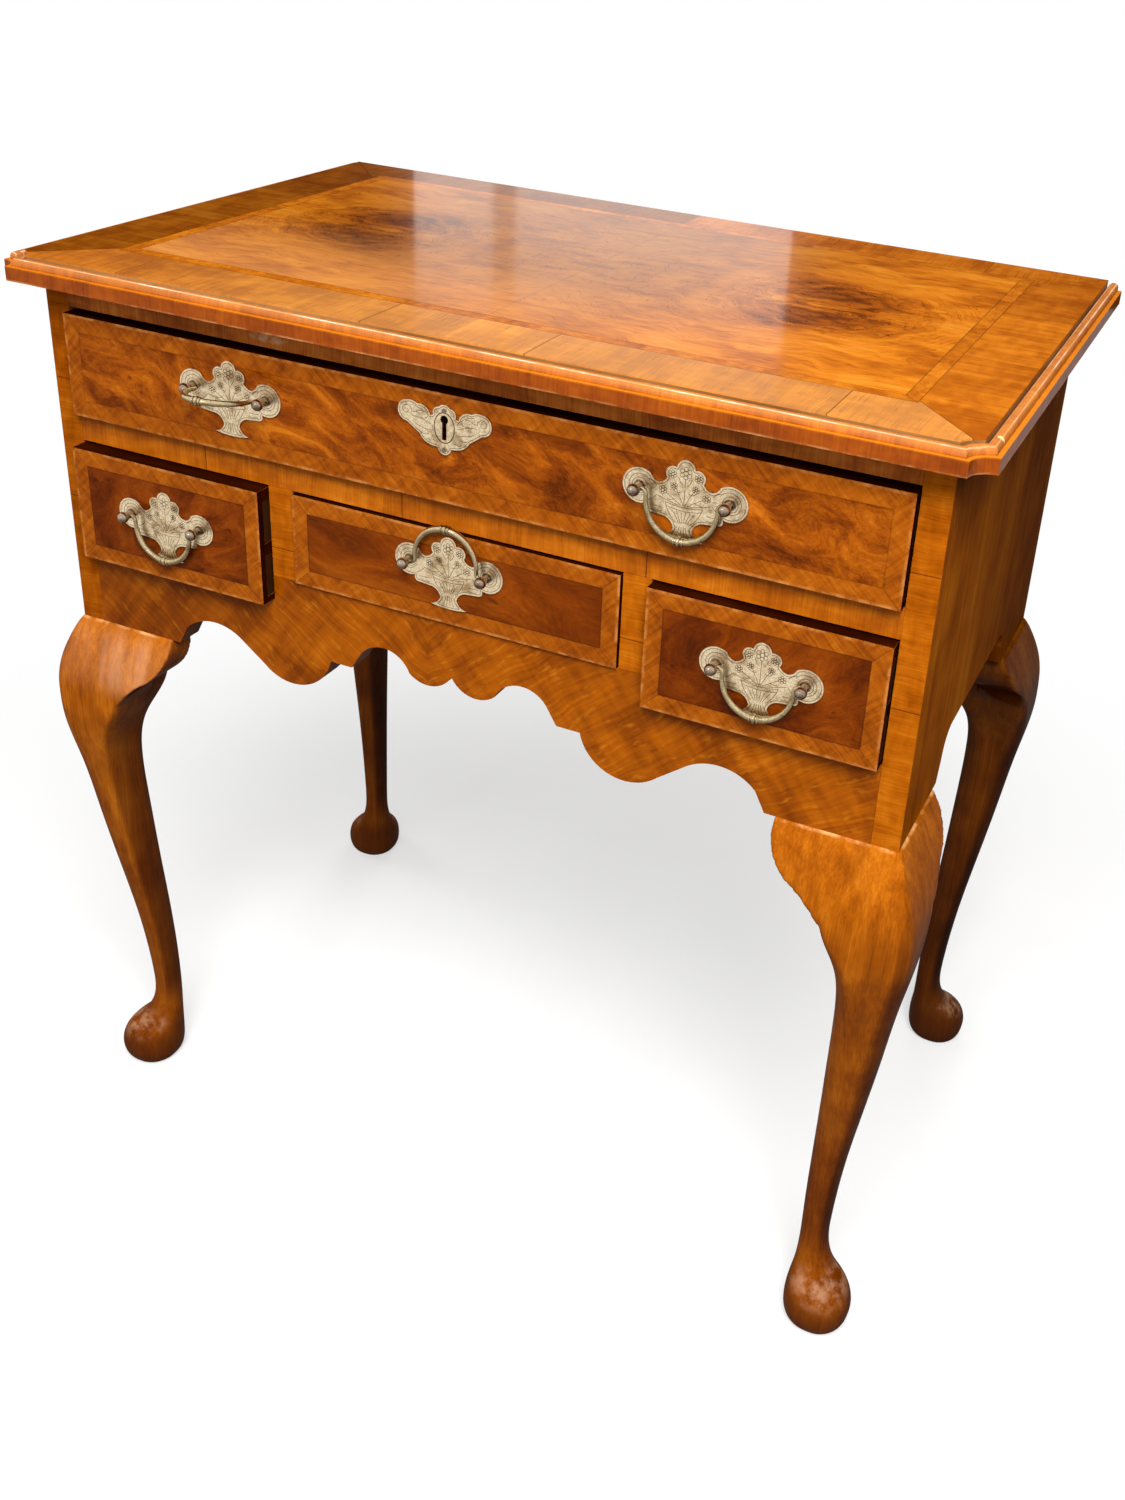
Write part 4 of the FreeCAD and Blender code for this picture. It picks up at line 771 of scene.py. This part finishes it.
def drawer_front(name, seed, tones, scale, stretch, slant, outline):
    """A burr field in its band; slant turns the figure, and outline is the strength of the glue lines.

    The edges of the board behind the veneer are plain, darkened by stain and painted shade.
    """
    low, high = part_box(name)
    g = Graph(name + "_veneer")
    u = g.minus(g.x, (low.x + high.x) / 2)
    v = g.minus(g.z, (low.z + high.z) / 2)
    in_x = g.minus((high.x - low.x) / 2, g.size(u))
    in_z = g.minus((high.z - low.z) / 2, g.size(v))
    edge = g.math("MINIMUM", in_x, in_z)
    upright = g.math("LESS_THAN", in_x, in_z)
    lean = g.minus(1.0, g.times(upright, 2.0))
    across = g.math("MULTIPLY_ADD", lean, u, v)
    along = g.minus(u, g.times(lean, v))
    depth = g.times(upright, 0.4)
    band = grain(g, along, across, depth, EDGE, reach=24.0, tight=190.0, seed=seed)[0]
    stripe = g.math("SINE", g.times(across, 2 * math.pi / BAND_STRIPE))
    band = g.mix(g.ease(stripe, 0.0, 1.0, 0.0, 0.10), band, BAND_DARK)
    figure, rise = burr(g, tones, scale, seed, stretch, slant)
    edge_shade = g.ease(edge, BAND_WIDTH, BAND_WIDTH + FIELD_EDGE, 0.18, 0.0)
    figure = g.tint(edge_shade, figure, FIELD_EDGE_DARK)
    banded = g.math("LESS_THAN", edge, BAND_WIDTH)
    colour = g.mix(banded, figure, band)
    mitre = g.times(g.near(in_x, in_z, HAIRLINE), banded)
    line = g.math("MAXIMUM", g.near(edge, BAND_WIDTH, MITRE_LINE), mitre)
    colour = g.mix(g.times(line, outline), colour, INK)
    colour = wear_and_highlight(g, colour, g.ease(edge, 0.0008, 0.0030, 0.7, 0.0), FRONT_RUB, 90.0)
    # The board's edges, darkened by stain and painted shade.
    rim = grain(g, g.x, g.z, g.y, DEEP, reach=4.0, seed=seed)[0]
    rim = g.mix(1.0, rim, RIM_STAIN_AND_SHADE, "MULTIPLY")
    front = g.math("LESS_THAN", g.facing[1], -0.5)
    colour = g.mix(front, rim, colour)
    return g.finish(colour, rise, bump=0.06, **POLISH)


# Metals.
PATINA = (0.45, 0.70)
# Painted shade on the faces that look down.
UNDERSIDE_PAINTED_SHADE = tone(92, 76, 60)
HANDLED = (0.16, 0.30)


def metal(name, light, dark, rough=(0.26, 0.46), underside_shade=0.0):
    """Aged metal; painted shade, in the given amount, darkens the faces that look down."""
    g = Graph(name)
    spot = g.vector(g.x, g.y, g.z)
    stain = g.field(spot, 90.0, detail=5.0, rough=0.65)
    fine = g.field(spot, 900.0, detail=2.0)
    colour = g.mix(g.ease(stain, *PATINA), light, dark)
    tint = g.ramp(fine, [(0.3, tone(205, 196, 182)), (0.7, tone(255, 255, 255))])
    colour = g.mix(1.0, colour, tint, "MULTIPLY")
    # Painted shade on the faces that look down.
    low = g.ease(g.facing[2], -0.35, 0.60, underside_shade, 0.0)
    colour = g.tint(low, colour, UNDERSIDE_PAINTED_SHADE)
    height = g.math("MULTIPLY_ADD", stain, 0.7, g.times(fine, 0.3))
    return g.finish(colour, height, bump=0.10, depth=0.0003, rough=rough, Metallic=1.0)


plate_brass = metal("plate_brass", tone(245, 225, 190), tone(182, 152, 112))
bail_brass = metal("bail_brass", tone(238, 220, 176), tone(188, 164, 118), rough=HANDLED, underside_shade=0.85)
post_brass = metal("post_brass", tone(206, 186, 166), tone(140, 118, 102), rough=HANDLED, underside_shade=0.92)
chased_brass = metal("chased_brass", tone(112, 86, 56), tone(76, 56, 36), rough=(0.40, 0.60))
iron = metal("iron", tone(96, 92, 88), tone(52, 44, 38), rough=(0.40, 0.62))

# Straight-grained woods.
BANDING = {"reach": 16.0, "wander": 0.012}
LEG_GRAIN = {"look": RUBBED, "reach": 4.0, "tight": 120.0, "wander": 0.02, "contrast": 0.35}
DEAL = {"look": RAW, "reach": 3.0, "tight": 36.0, "wander": 0.03}
WORN = BAND[:-1] + [(BAND[-1][0], PALE)]
band_rail = straight("rail_band", "zxy", BAND, rail_shade, tight=150.0, seed=2.0, contrast=0.32, **BANDING)
band_stile = straight("stile_band", "xzy", BAND, stile_shade, WAX,
                      tight=170.0, seed=5.0, contrast=0.36, **BANDING)
band_frieze = straight("frieze_band", "zxy", FRIEZE, frieze_shade,
                       tight=140.0, seed=8.0, contrast=0.32, **BANDING)
worn_band = straight("worn_band", "xzy", WORN, reach=30.0, tight=120.0)
side_walnut = straight("side_walnut", "zyx", SIDE, side_shade, WAX, **FLANK)
leg_walnut = straight("solid_walnut", "zxy", SOLID, leg_shade, **LEG_GRAIN)
# A darker copy of the leg wood for the back right leg, as painted shade.
back_leg_in_painted_shade = straight("back_leg_walnut_painted_shade", "zxy", LEG_IN_PAINTED_SHADE, leg_shade, **LEG_GRAIN)
oak_cross = straight("oak_crosswise", "xzy", OAK, look=RAW, tight=75.0, seed=3.0)
oak_floor = straight("oak_floor", "xyz", OAK, look=RAW, tight=70.0, seed=6.0)
pine_cross = straight("pine_crosswise", "xzy", PINE, **DEAL)
pine_core = straight("pine_core", "xyz", PINE, quirk_painted_shade, **DEAL)
pine_deep = straight("pine_deep", "yzx", PINE, look=RAW, reach=3.0, tight=40.0)

# Dressing of the nodes, with the width of each arris.
CRISP = 0.0004
EASED = 0.0005
SOFT = 0.0006
ROUNDED = 0.0008
dress(["top_field_veneer"], top_field())
dress(["top_crossband"], top_crossband())
dress(["top_featherband"], top_featherband())
dress(["top_edge_moulding"], top_moulding())
dress(["middle_rail"], band_rail, EASED)
dress(["left_stile", "right_stile", "muntins"], band_stile, EASED)
dress(["frieze_rail"], band_frieze, CRISP)
dress(["front_apron"], apron(), SOFT)
dress(["left_side", "right_side"], side_walnut, SOFT)
for leg, hand, ahead in (("front_left", -1, True), ("front_right", 1, True),
                         ("back_left", -1, False), ("back_right", 1, False)):
    # The back right leg takes the copy darkened as painted shade.
    timber = back_leg_in_painted_shade if leg == "back_right" else leg_walnut
    dress([leg + "_leg"], timber)
    carved_leg(leg, hand, ahead, timber)
dress(["knee_brackets"], leg_walnut)
for drawer, seed, tones, scale, stretch, slant, outline in (
    ("long", 1.0, BURR, 36.0, 0.50, -24.0, 0.25),
    ("left", 4.0, DEEP, 30.0, 0.70, 20.0, 0.45),
    ("centre", 7.0, WARM, 24.0, 0.35, -10.0, 0.45),
    ("right", 9.0, DEEP, 30.0, 0.60, 35.0, 0.45),
):
    front = drawer + "_drawer_front"
    face = drawer_front(front, seed, tones, scale, stretch, slant, outline)
    dress([front], face, ROUNDED, worn_band)
    tails = straight(drawer + "_oak_sides", "yzx", OAK, tails_stained_and_shaded(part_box(front)[0].y), RAW, tight=75.0)
    dress([drawer + "_drawer_sides"], tails, CRISP)
    dress([drawer + "_drawer_back"], oak_cross, CRISP)
    dress([drawer + "_drawer_bottom"], oak_floor)
dress(["back_board", "back_rail"], pine_cross, SOFT)
dress(["top_board"], pine_core)
dress(["drawer_kickers", "drawer_partitions", "drawer_stops", "long_drawer_runners",
       "small_drawer_runners"], pine_deep, EASED)
plates = [name for name in nodes if "handle_plate" in name]
dress(plates + ["escutcheon"], plate_brass, CRISP)
dress([name for name in nodes if name.endswith("_bail")], bail_brass)
dress([name for name in nodes if "handle_posts" in name] + ["escutcheon_pins"], post_brass)
dress(["lock_case", "lock_bolt", "leg_screws", "top_screws"], iron)


# Chased lines on the brass plates; a loop narrower than PLATE_LEAST is a hole.
FACE_PLAY = 1e-5
SPOT_DIGITS = 6
LINE_STEP = 0.6 * MM
CLEAR_SHARE = 0.97
RIDGE_SINK = 0.05 * MM
MEETING = 1e-6
PLATE_LEAST = 0.05
PLATE_RIM = 1.5 * MM
KEY_RIM = 1.3 * MM
KEYHOLE_DROP = 16.5 * MM


def front_loops(name):
    """The outlines of a plate's front face, as closed lists of x and z in metres."""
    mesh = nodes[name].data
    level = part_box(name)[0].y
    count = {}
    spot = {}
    for face in mesh.polygons:
        corners = [mesh.vertices[index].co for index in face.vertices]
        if max(abs(corner.y - level) for corner in corners) > FACE_PLAY:
            continue
        keys = [(round(corner.x, SPOT_DIGITS), round(corner.z, SPOT_DIGITS)) for corner in corners]
        for key, corner in zip(keys, corners):
            spot[key] = (corner.x, corner.z)
        for start, end in zip(keys, keys[1:] + keys[:1]):
            count[start, end] = count.get((start, end), 0) + 1
    after = {start: end for start, end in count if (end, start) not in count}
    loops = []
    while after:
        start, follow = after.popitem()
        chain = [start]
        while follow != start:
            chain.append(follow)
            follow = after.pop(follow)
        loops.append([spot[key] for key in chain])
    return loops


def resample(points, step):
    """Points an even step apart along a closed line."""
    closed = points + points[:1]
    result = []
    left = 0.0
    for (ax, az), (bx, bz) in zip(closed, closed[1:]):
        length = math.hypot(bx - ax, bz - az)
        while left < length:
            share = left / length
            result.append((ax + (bx - ax) * share, az + (bz - az) * share))
            left += step
        left -= length
    return result


def inset(points, distance):
    """A closed line moved inwards; points that would come too near the outline are left out."""
    area = sum(ax * bz - bx * az for (ax, az), (bx, bz) in zip(points, points[1:] + points[:1]))
    turn = 1 if area > 0 else -1
    result = []
    for index, (x, z) in enumerate(points):
        ax, az = points[index - 1]
        bx, bz = points[(index + 1) % len(points)]
        length = math.hypot(bx - ax, bz - az)
        spot = (x - turn * (bz - az) / length * distance, z + turn * (bx - ax) / length * distance)
        if all(math.hypot(spot[0] - px, spot[1] - pz) > distance * CLEAR_SHARE for px, pz in points):
            result.append(spot)
    return result


def curve(*corners, steps=8):
    """A Bezier line through its first and last corner, in millimetres."""
    result = []
    for index in range(steps + 1):
        layer = list(corners)
        share = index / steps
        while len(layer) > 1:
            layer = [(ax + (bx - ax) * share, az + (bz - az) * share)
                     for (ax, az), (bx, bz) in zip(layer, layer[1:])]
        result.append(layer[0])
    return result


def ring(x, z, radius_x, radius_z, start=0.0, end=360.0, steps=20, shrink=1.0):
    """An arc, or a scroll where it shrinks towards its end, in millimetres."""
    result = []
    for index in range(steps + 1):
        share = index / steps
        angle = math.radians(start + (end - start) * share)
        size = 1 + (shrink - 1) * share
        result.append((x + radius_x * size * math.cos(angle), z + radius_z * size * math.sin(angle)))
    return result


def flower(x, z, size):
    """A ring with six petals."""
    strokes = [ring(x, z, size * 0.36, size * 0.36, steps=10)]
    for petal in range(6):
        angle = math.radians(60 * petal + 30)
        strokes.append(ring(x + size * 0.72 * math.cos(angle), z + size * 0.72 * math.sin(angle),
                            size * 0.34, size * 0.34, steps=8))
    return strokes


def mirrored(strokes):
    """The strokes and their mirror images."""
    return strokes + [[(-x, z) for x, z in stroke] for stroke in strokes]


def basket_strokes():
    """A basket of flowers on the plate's middle, scrolls round the posts and a fluted foot."""
    strokes = [curve((-13, -7.5), (0, -10.5), (13, -7.5)), curve((-12, -10), (0, -13), (12, -10)),
               curve((0, -8), (0, 2), (0, 11))]
    strokes += flower(0, 14.5, 4.2)
    half = [curve((13, -7.5), (11, -15), (5.5, -20)), curve((4.2, -23), (5.2, -27), (9.5, -29.6))]
    half += [curve((1.4 * k, -22.5), (1.8 * k, -27), (3.0 * k, -30.0)) for k in (0.5, 1.5)]
    half += [curve((3.2 * k, -12.0), (2.0 * k, -16), (1.2 * k, -20)) for k in (0.5, 1.5, 2.5)]
    half += [curve((0.5, -8), (4, 0), (7.5, 5)), curve((2, -8), (9, -3), (13, -1)),
             curve((4, -8), (13, -6), (19, -4)), curve((3, 1), (6, 0), (8, 2)),
             curve((7, -4), (9, -6), (12, -5)), curve((1.5, 6), (4, 8), (4.5, 11))]
    half += flower(9.0, 12.4, 2.7) + flower(7.6, 4.6, 2.4) + flower(15.2, 0.2, 2.8)
    half += [ring(31.5, 0, 8.4, 8.4, 150, -160, 26, 0.78), ring(31.5, 0, 5.4, 5.4, steps=18),
             curve((19.5, 2.5), (22, 5.0), (25, 6.0)), curve((19.5, -4), (22, -8), (26.0, -9.2)),
             curve((15, -14.5), (19, -15), (23, -14.2)), curve((16, -11.5), (20, -12), (24, -11.5))]
    return strokes + mirrored(half)


def wing_strokes():
    """Scrolled leaves on the escutcheon's wings."""
    half = [ring(29.6, 7.8, 4.4, 4.2, 200, -240, 26, 0.25), curve((10, 4.5), (15, 10.5), (23, 11.5)),
            curve((10.5, 1), (17, 4), (25, 4.5)), curve((11, -3), (17, -3.5), (23, -0.5)),
            curve((13, 6), (15, 3), (19, 4.5)), curve((16, 8.5), (19, 10), (22, 8)),
            curve((19, 6.5), (22, 8.5), (24.5, 7)), curve((12, -6), (15, -8), (18, -6)),
            curve((8, -9.5), (10.5, -11.5), (13.5, -9.5)), ring(6.3, 11.0, 1.3, 1.3, steps=8),
            curve((2.2, -15.0), (3.4, -16.4), (1.6, -17.6))]
    return mirrored(half)


def ridge(work, stroke, level, width, height):
    """A low ridge along a stroke, which is closed where its ends meet."""
    closed = math.dist(stroke[0], stroke[-1]) < MEETING
    line = stroke[:-1] if closed else stroke
    rows = []
    for index, (x, z) in enumerate(line):
        before = line[index - 1] if closed or index else line[0]
        beyond = line[(index + 1) % len(line)] if closed or index + 1 < len(line) else line[-1]
        run_x = beyond[0] - before[0]
        run_z = beyond[1] - before[1]
        length = math.hypot(run_x, run_z)
        off_x = -run_z / length * width / 2
        off_z = run_x / length * width / 2
        rows.append([work.verts.new((x + off_x, level + RIDGE_SINK, z + off_z)),
                     work.verts.new((x, level - height, z)),
                     work.verts.new((x - off_x, level + RIDGE_SINK, z - off_z))])
    for first, second in zip(rows, rows[1:] + (rows[:1] if closed else [])):
        for side in range(3):
            after = (side + 1) % 3
            work.faces.new((first[side], first[after], second[after], second[side]))
    if not closed:
        work.faces.new(rows[0])
        work.faces.new(rows[-1])


def chase(name, body, level, strokes, width=0.48 * MM, height=0.16 * MM):
    """Chased lines as low ridges let into a plate."""
    work = bmesh.new()
    for stroke in strokes:
        ridge(work, stroke, level, width, height)
    bmesh.ops.recalc_face_normals(work, faces=work.faces)
    mesh = bpy.data.meshes.new(name)
    work.to_mesh(mesh)
    work.free()
    mesh.materials.append(chased_brass)
    piece = shown(name, mesh)
    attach(piece, body)


def placed(strokes, x, z):
    """Strokes in millimetres, moved to a place in metres."""
    return [[(x + px * MM, z + pz * MM) for px, pz in stroke] for stroke in strokes]


def rim_line(outline, distance):
    """A closed line that follows an outline inside it."""
    line = inset(resample(outline, LINE_STEP), distance)
    return line + line[:1]


def ends_in_x(loop):
    """The least and the greatest x of a line."""
    across = [x for x, z in loop]
    return min(across), max(across)


for node, drawer in (("long_handle_plates", "long"), ("left_handle_plate", "left"),
                     ("centre_handle_plate", "centre"), ("right_handle_plate", "right")):
    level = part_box(node)[0].y
    post_low, post_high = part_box(drawer + "_handle_posts")
    post_z = (post_low.z + post_high.z) / 2
    for outline in front_loops(node):
        left, right = ends_in_x(outline)
        if right - left > PLATE_LEAST:
            middle = (left + right) / 2
            hand = "" if drawer != "long" else "_left" if middle < 0 else "_right"
            lines = placed(basket_strokes(), middle, post_z) + [rim_line(outline, PLATE_RIM)]
            chase(drawer + hand + "_plate_chasing", drawer + "_drawer", level, lines)

key_low, key_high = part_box("escutcheon")
key_outline = max(front_loops("escutcheon"), key=lambda loop: ends_in_x(loop)[1])
key_z = key_high.z - KEYHOLE_DROP
wings = placed(wing_strokes(), 0.0, key_z) + [rim_line(key_outline, KEY_RIM)]
chase("escutcheon_chasing", "long_drawer", key_low.y, wings)
keyhole = placed([ring(0, 0.2, 7.8, 10.8, steps=36)], 0.0, key_z)
chase("keyhole_ring", "long_drawer", key_low.y, keyhole, width=0.9 * MM, height=0.3 * MM)


# Stage: pale floor, soft lamps, a window seen only in reflections, and the photograph's camera.
FLOOR_REACH = 9
FLOOR_BOUNCE = tone(70, 60, 52)
WHITE = (1.0, 1.0, 1.0, 1.0)
SCREEN_X = (-7, 5)
SCREEN_Y = 2.8
SCREEN_Z = (0.1, 5)
WINDOW_X = (-1.87, -0.74)
WINDOW_Y = 2.75
WINDOW_Z = (0.95, 1.9)
WINDOW_BAR = -1.58
WINDOW_LIGHT = (1.0, 0.97, 0.93, 1.0)
AMBIENT = (1.0, 0.98, 0.95, 1.0)
AMBIENT_STRENGTH = 0.13
# Name, place, target, width and watts of each lamp; the polish mirrors only one.
LAMPS = (
    ("key", (0.65, -1.45, 2.4), (0.0, 0.0, 0.5), 1.3, 84),
    ("near", (1.25, -1.3, 1.9), (0.2, 0.0, 0.5), 0.9, 12),
    ("fill", (-0.2, -2.5, 1.0), (0.0, 0.0, 0.6), 1.6, 15),
    ("glint", (-0.7, -2.3, 1.8), (0.0, 0.0, 0.5), 0.4, 4),
    ("left", (-2.4, 0.2, 1.7), (0.0, 0.0, 0.6), 1.2, 14),
    ("back", (-0.5, 2.7, 1.8), (0.0, 0.0, 0.5), 1.6, 24),
    ("over", (0.3, 0.2, 2.9), (0.0, 0.0, 0.6), 2.0, 4),
)
MIRRORED_LAMP = "glint"
EYE_PLACE = (0.5128, -1.0546, 1.0691)
EYE_TILT = 63.264
EYE_ROLL = -3.578
EYE_PAN = 23.537
EYE_SENSOR = 36.0
EYE_LENS = 37.13
EYE_SHIFT_X = -0.0717
EYE_SHIFT_Y = -0.0914


def plane(name, corners, material):
    """A flat piece of the stage."""
    mesh = bpy.data.meshes.new(name)
    mesh.from_pydata(corners, [], [tuple(range(len(corners)))])
    mesh.materials.append(material)
    piece = shown(name, mesh)
    return piece


def floor_material():
    """Pale and softly shaded round the feet, white further out; it throws little light back."""
    g = Graph("floor")
    spot = g.vector(g.x, g.y, 0.0)
    away = g.length(spot)
    speckle = g.field(spot, 6.0, detail=3.0)
    colour = g.ramp(speckle, [(0.3, tone(240, 239, 237)), (0.7, tone(246, 245, 244))])
    colour = g.mix(g.add("LightPath").outputs["Is Diffuse Ray"], colour, FLOOR_BOUNCE)
    lit = g.add("BsdfDiffuse", colour).outputs[0]
    white = g.add("Emission", WHITE, 1.0).outputs[0]
    open_floor = g.times(g.seen(), g.ease(away, 0.45, 1.15, 0.5, 1.0))
    return g.surface(g.add("MixShader", open_floor, lit, white))


def window_material():
    """Daylight that fades upwards, with one upright bar."""
    g = Graph("window_glow")
    bars = g.ease(g.size(g.minus(g.x, WINDOW_BAR)), 0.02, 0.05, 0.45, 1.0)
    fade = g.ease(g.z, 1.42, 1.85, 1.5, 0.1)
    return g.surface(g.add("Emission", WINDOW_LIGHT, g.times(bars, fade)))


def dusk_material():
    """A dim room for the polish to mirror."""
    g = Graph("dark_screen")
    cloud = g.field(g.vector(g.x, g.y, g.z), 0.8, detail=2.0)
    colour = g.ramp(cloud, [(0.3, tone(40, 30, 24)), (0.7, tone(58, 46, 38))])
    return g.surface(g.add("BsdfDiffuse", colour))


def mirrored_wall(name, across, y, heights, material):
    """An upright plane that only reflections show."""
    left, right = across
    low, high = heights
    piece = plane(name, [(left, y, low), (right, y, low), (right, y, high), (left, y, high)], material)
    piece.visible_camera = False
    piece.visible_diffuse = False
    piece.visible_shadow = False
    piece.visible_transmission = False


def lamp(name, place, target, width, power):
    """A round area lamp."""
    light = bpy.data.lights.new(name, "AREA")
    light.shape = "DISK"
    light.size = width
    light.energy = power
    piece = shown(name, light)
    piece.location = place
    aim = Vector(target) - Vector(place)
    piece.rotation_euler = aim.to_track_quat("-Z", "Y").to_euler()
    piece.visible_camera = False
    piece.visible_glossy = name == MIRRORED_LAMP


def studio_world():
    """White where it is seen, and a weak warm light elsewhere."""
    world = bpy.data.worlds.new("studio")
    sky = Tree(world)
    ambient = sky.add("Background", AMBIENT, AMBIENT_STRENGTH).outputs[0]
    white = sky.add("Background", WHITE, 1.0).outputs[0]
    blend = sky.add("MixShader", sky.seen(), ambient, white)
    sky.add("OutputWorld", blend.outputs[0])
    return world


def photo_camera():
    """The photograph's camera."""
    eye = bpy.data.cameras.new("camera")
    eye.sensor_width = EYE_SENSOR
    eye.lens = EYE_LENS
    eye.shift_x = EYE_SHIFT_X
    eye.shift_y = EYE_SHIFT_Y
    camera = shown("camera", eye)
    camera.location = EYE_PLACE
    camera.rotation_euler = [math.radians(angle) for angle in (EYE_TILT, EYE_ROLL, EYE_PAN)]
    return camera


ends = ((-1, -1), (1, -1), (1, 1), (-1, 1))
plane("floor", [(FLOOR_REACH * x, FLOOR_REACH * y, 0) for x, y in ends], floor_material())
mirrored_wall("screen", SCREEN_X, SCREEN_Y, SCREEN_Z, dusk_material())
mirrored_wall("window", WINDOW_X, WINDOW_Y, WINDOW_Z, window_material())
for row in LAMPS:
    lamp(*row)
scene = bpy.context.scene
scene.world = studio_world()
scene.camera = photo_camera()
scene.view_settings.view_transform = "Standard"
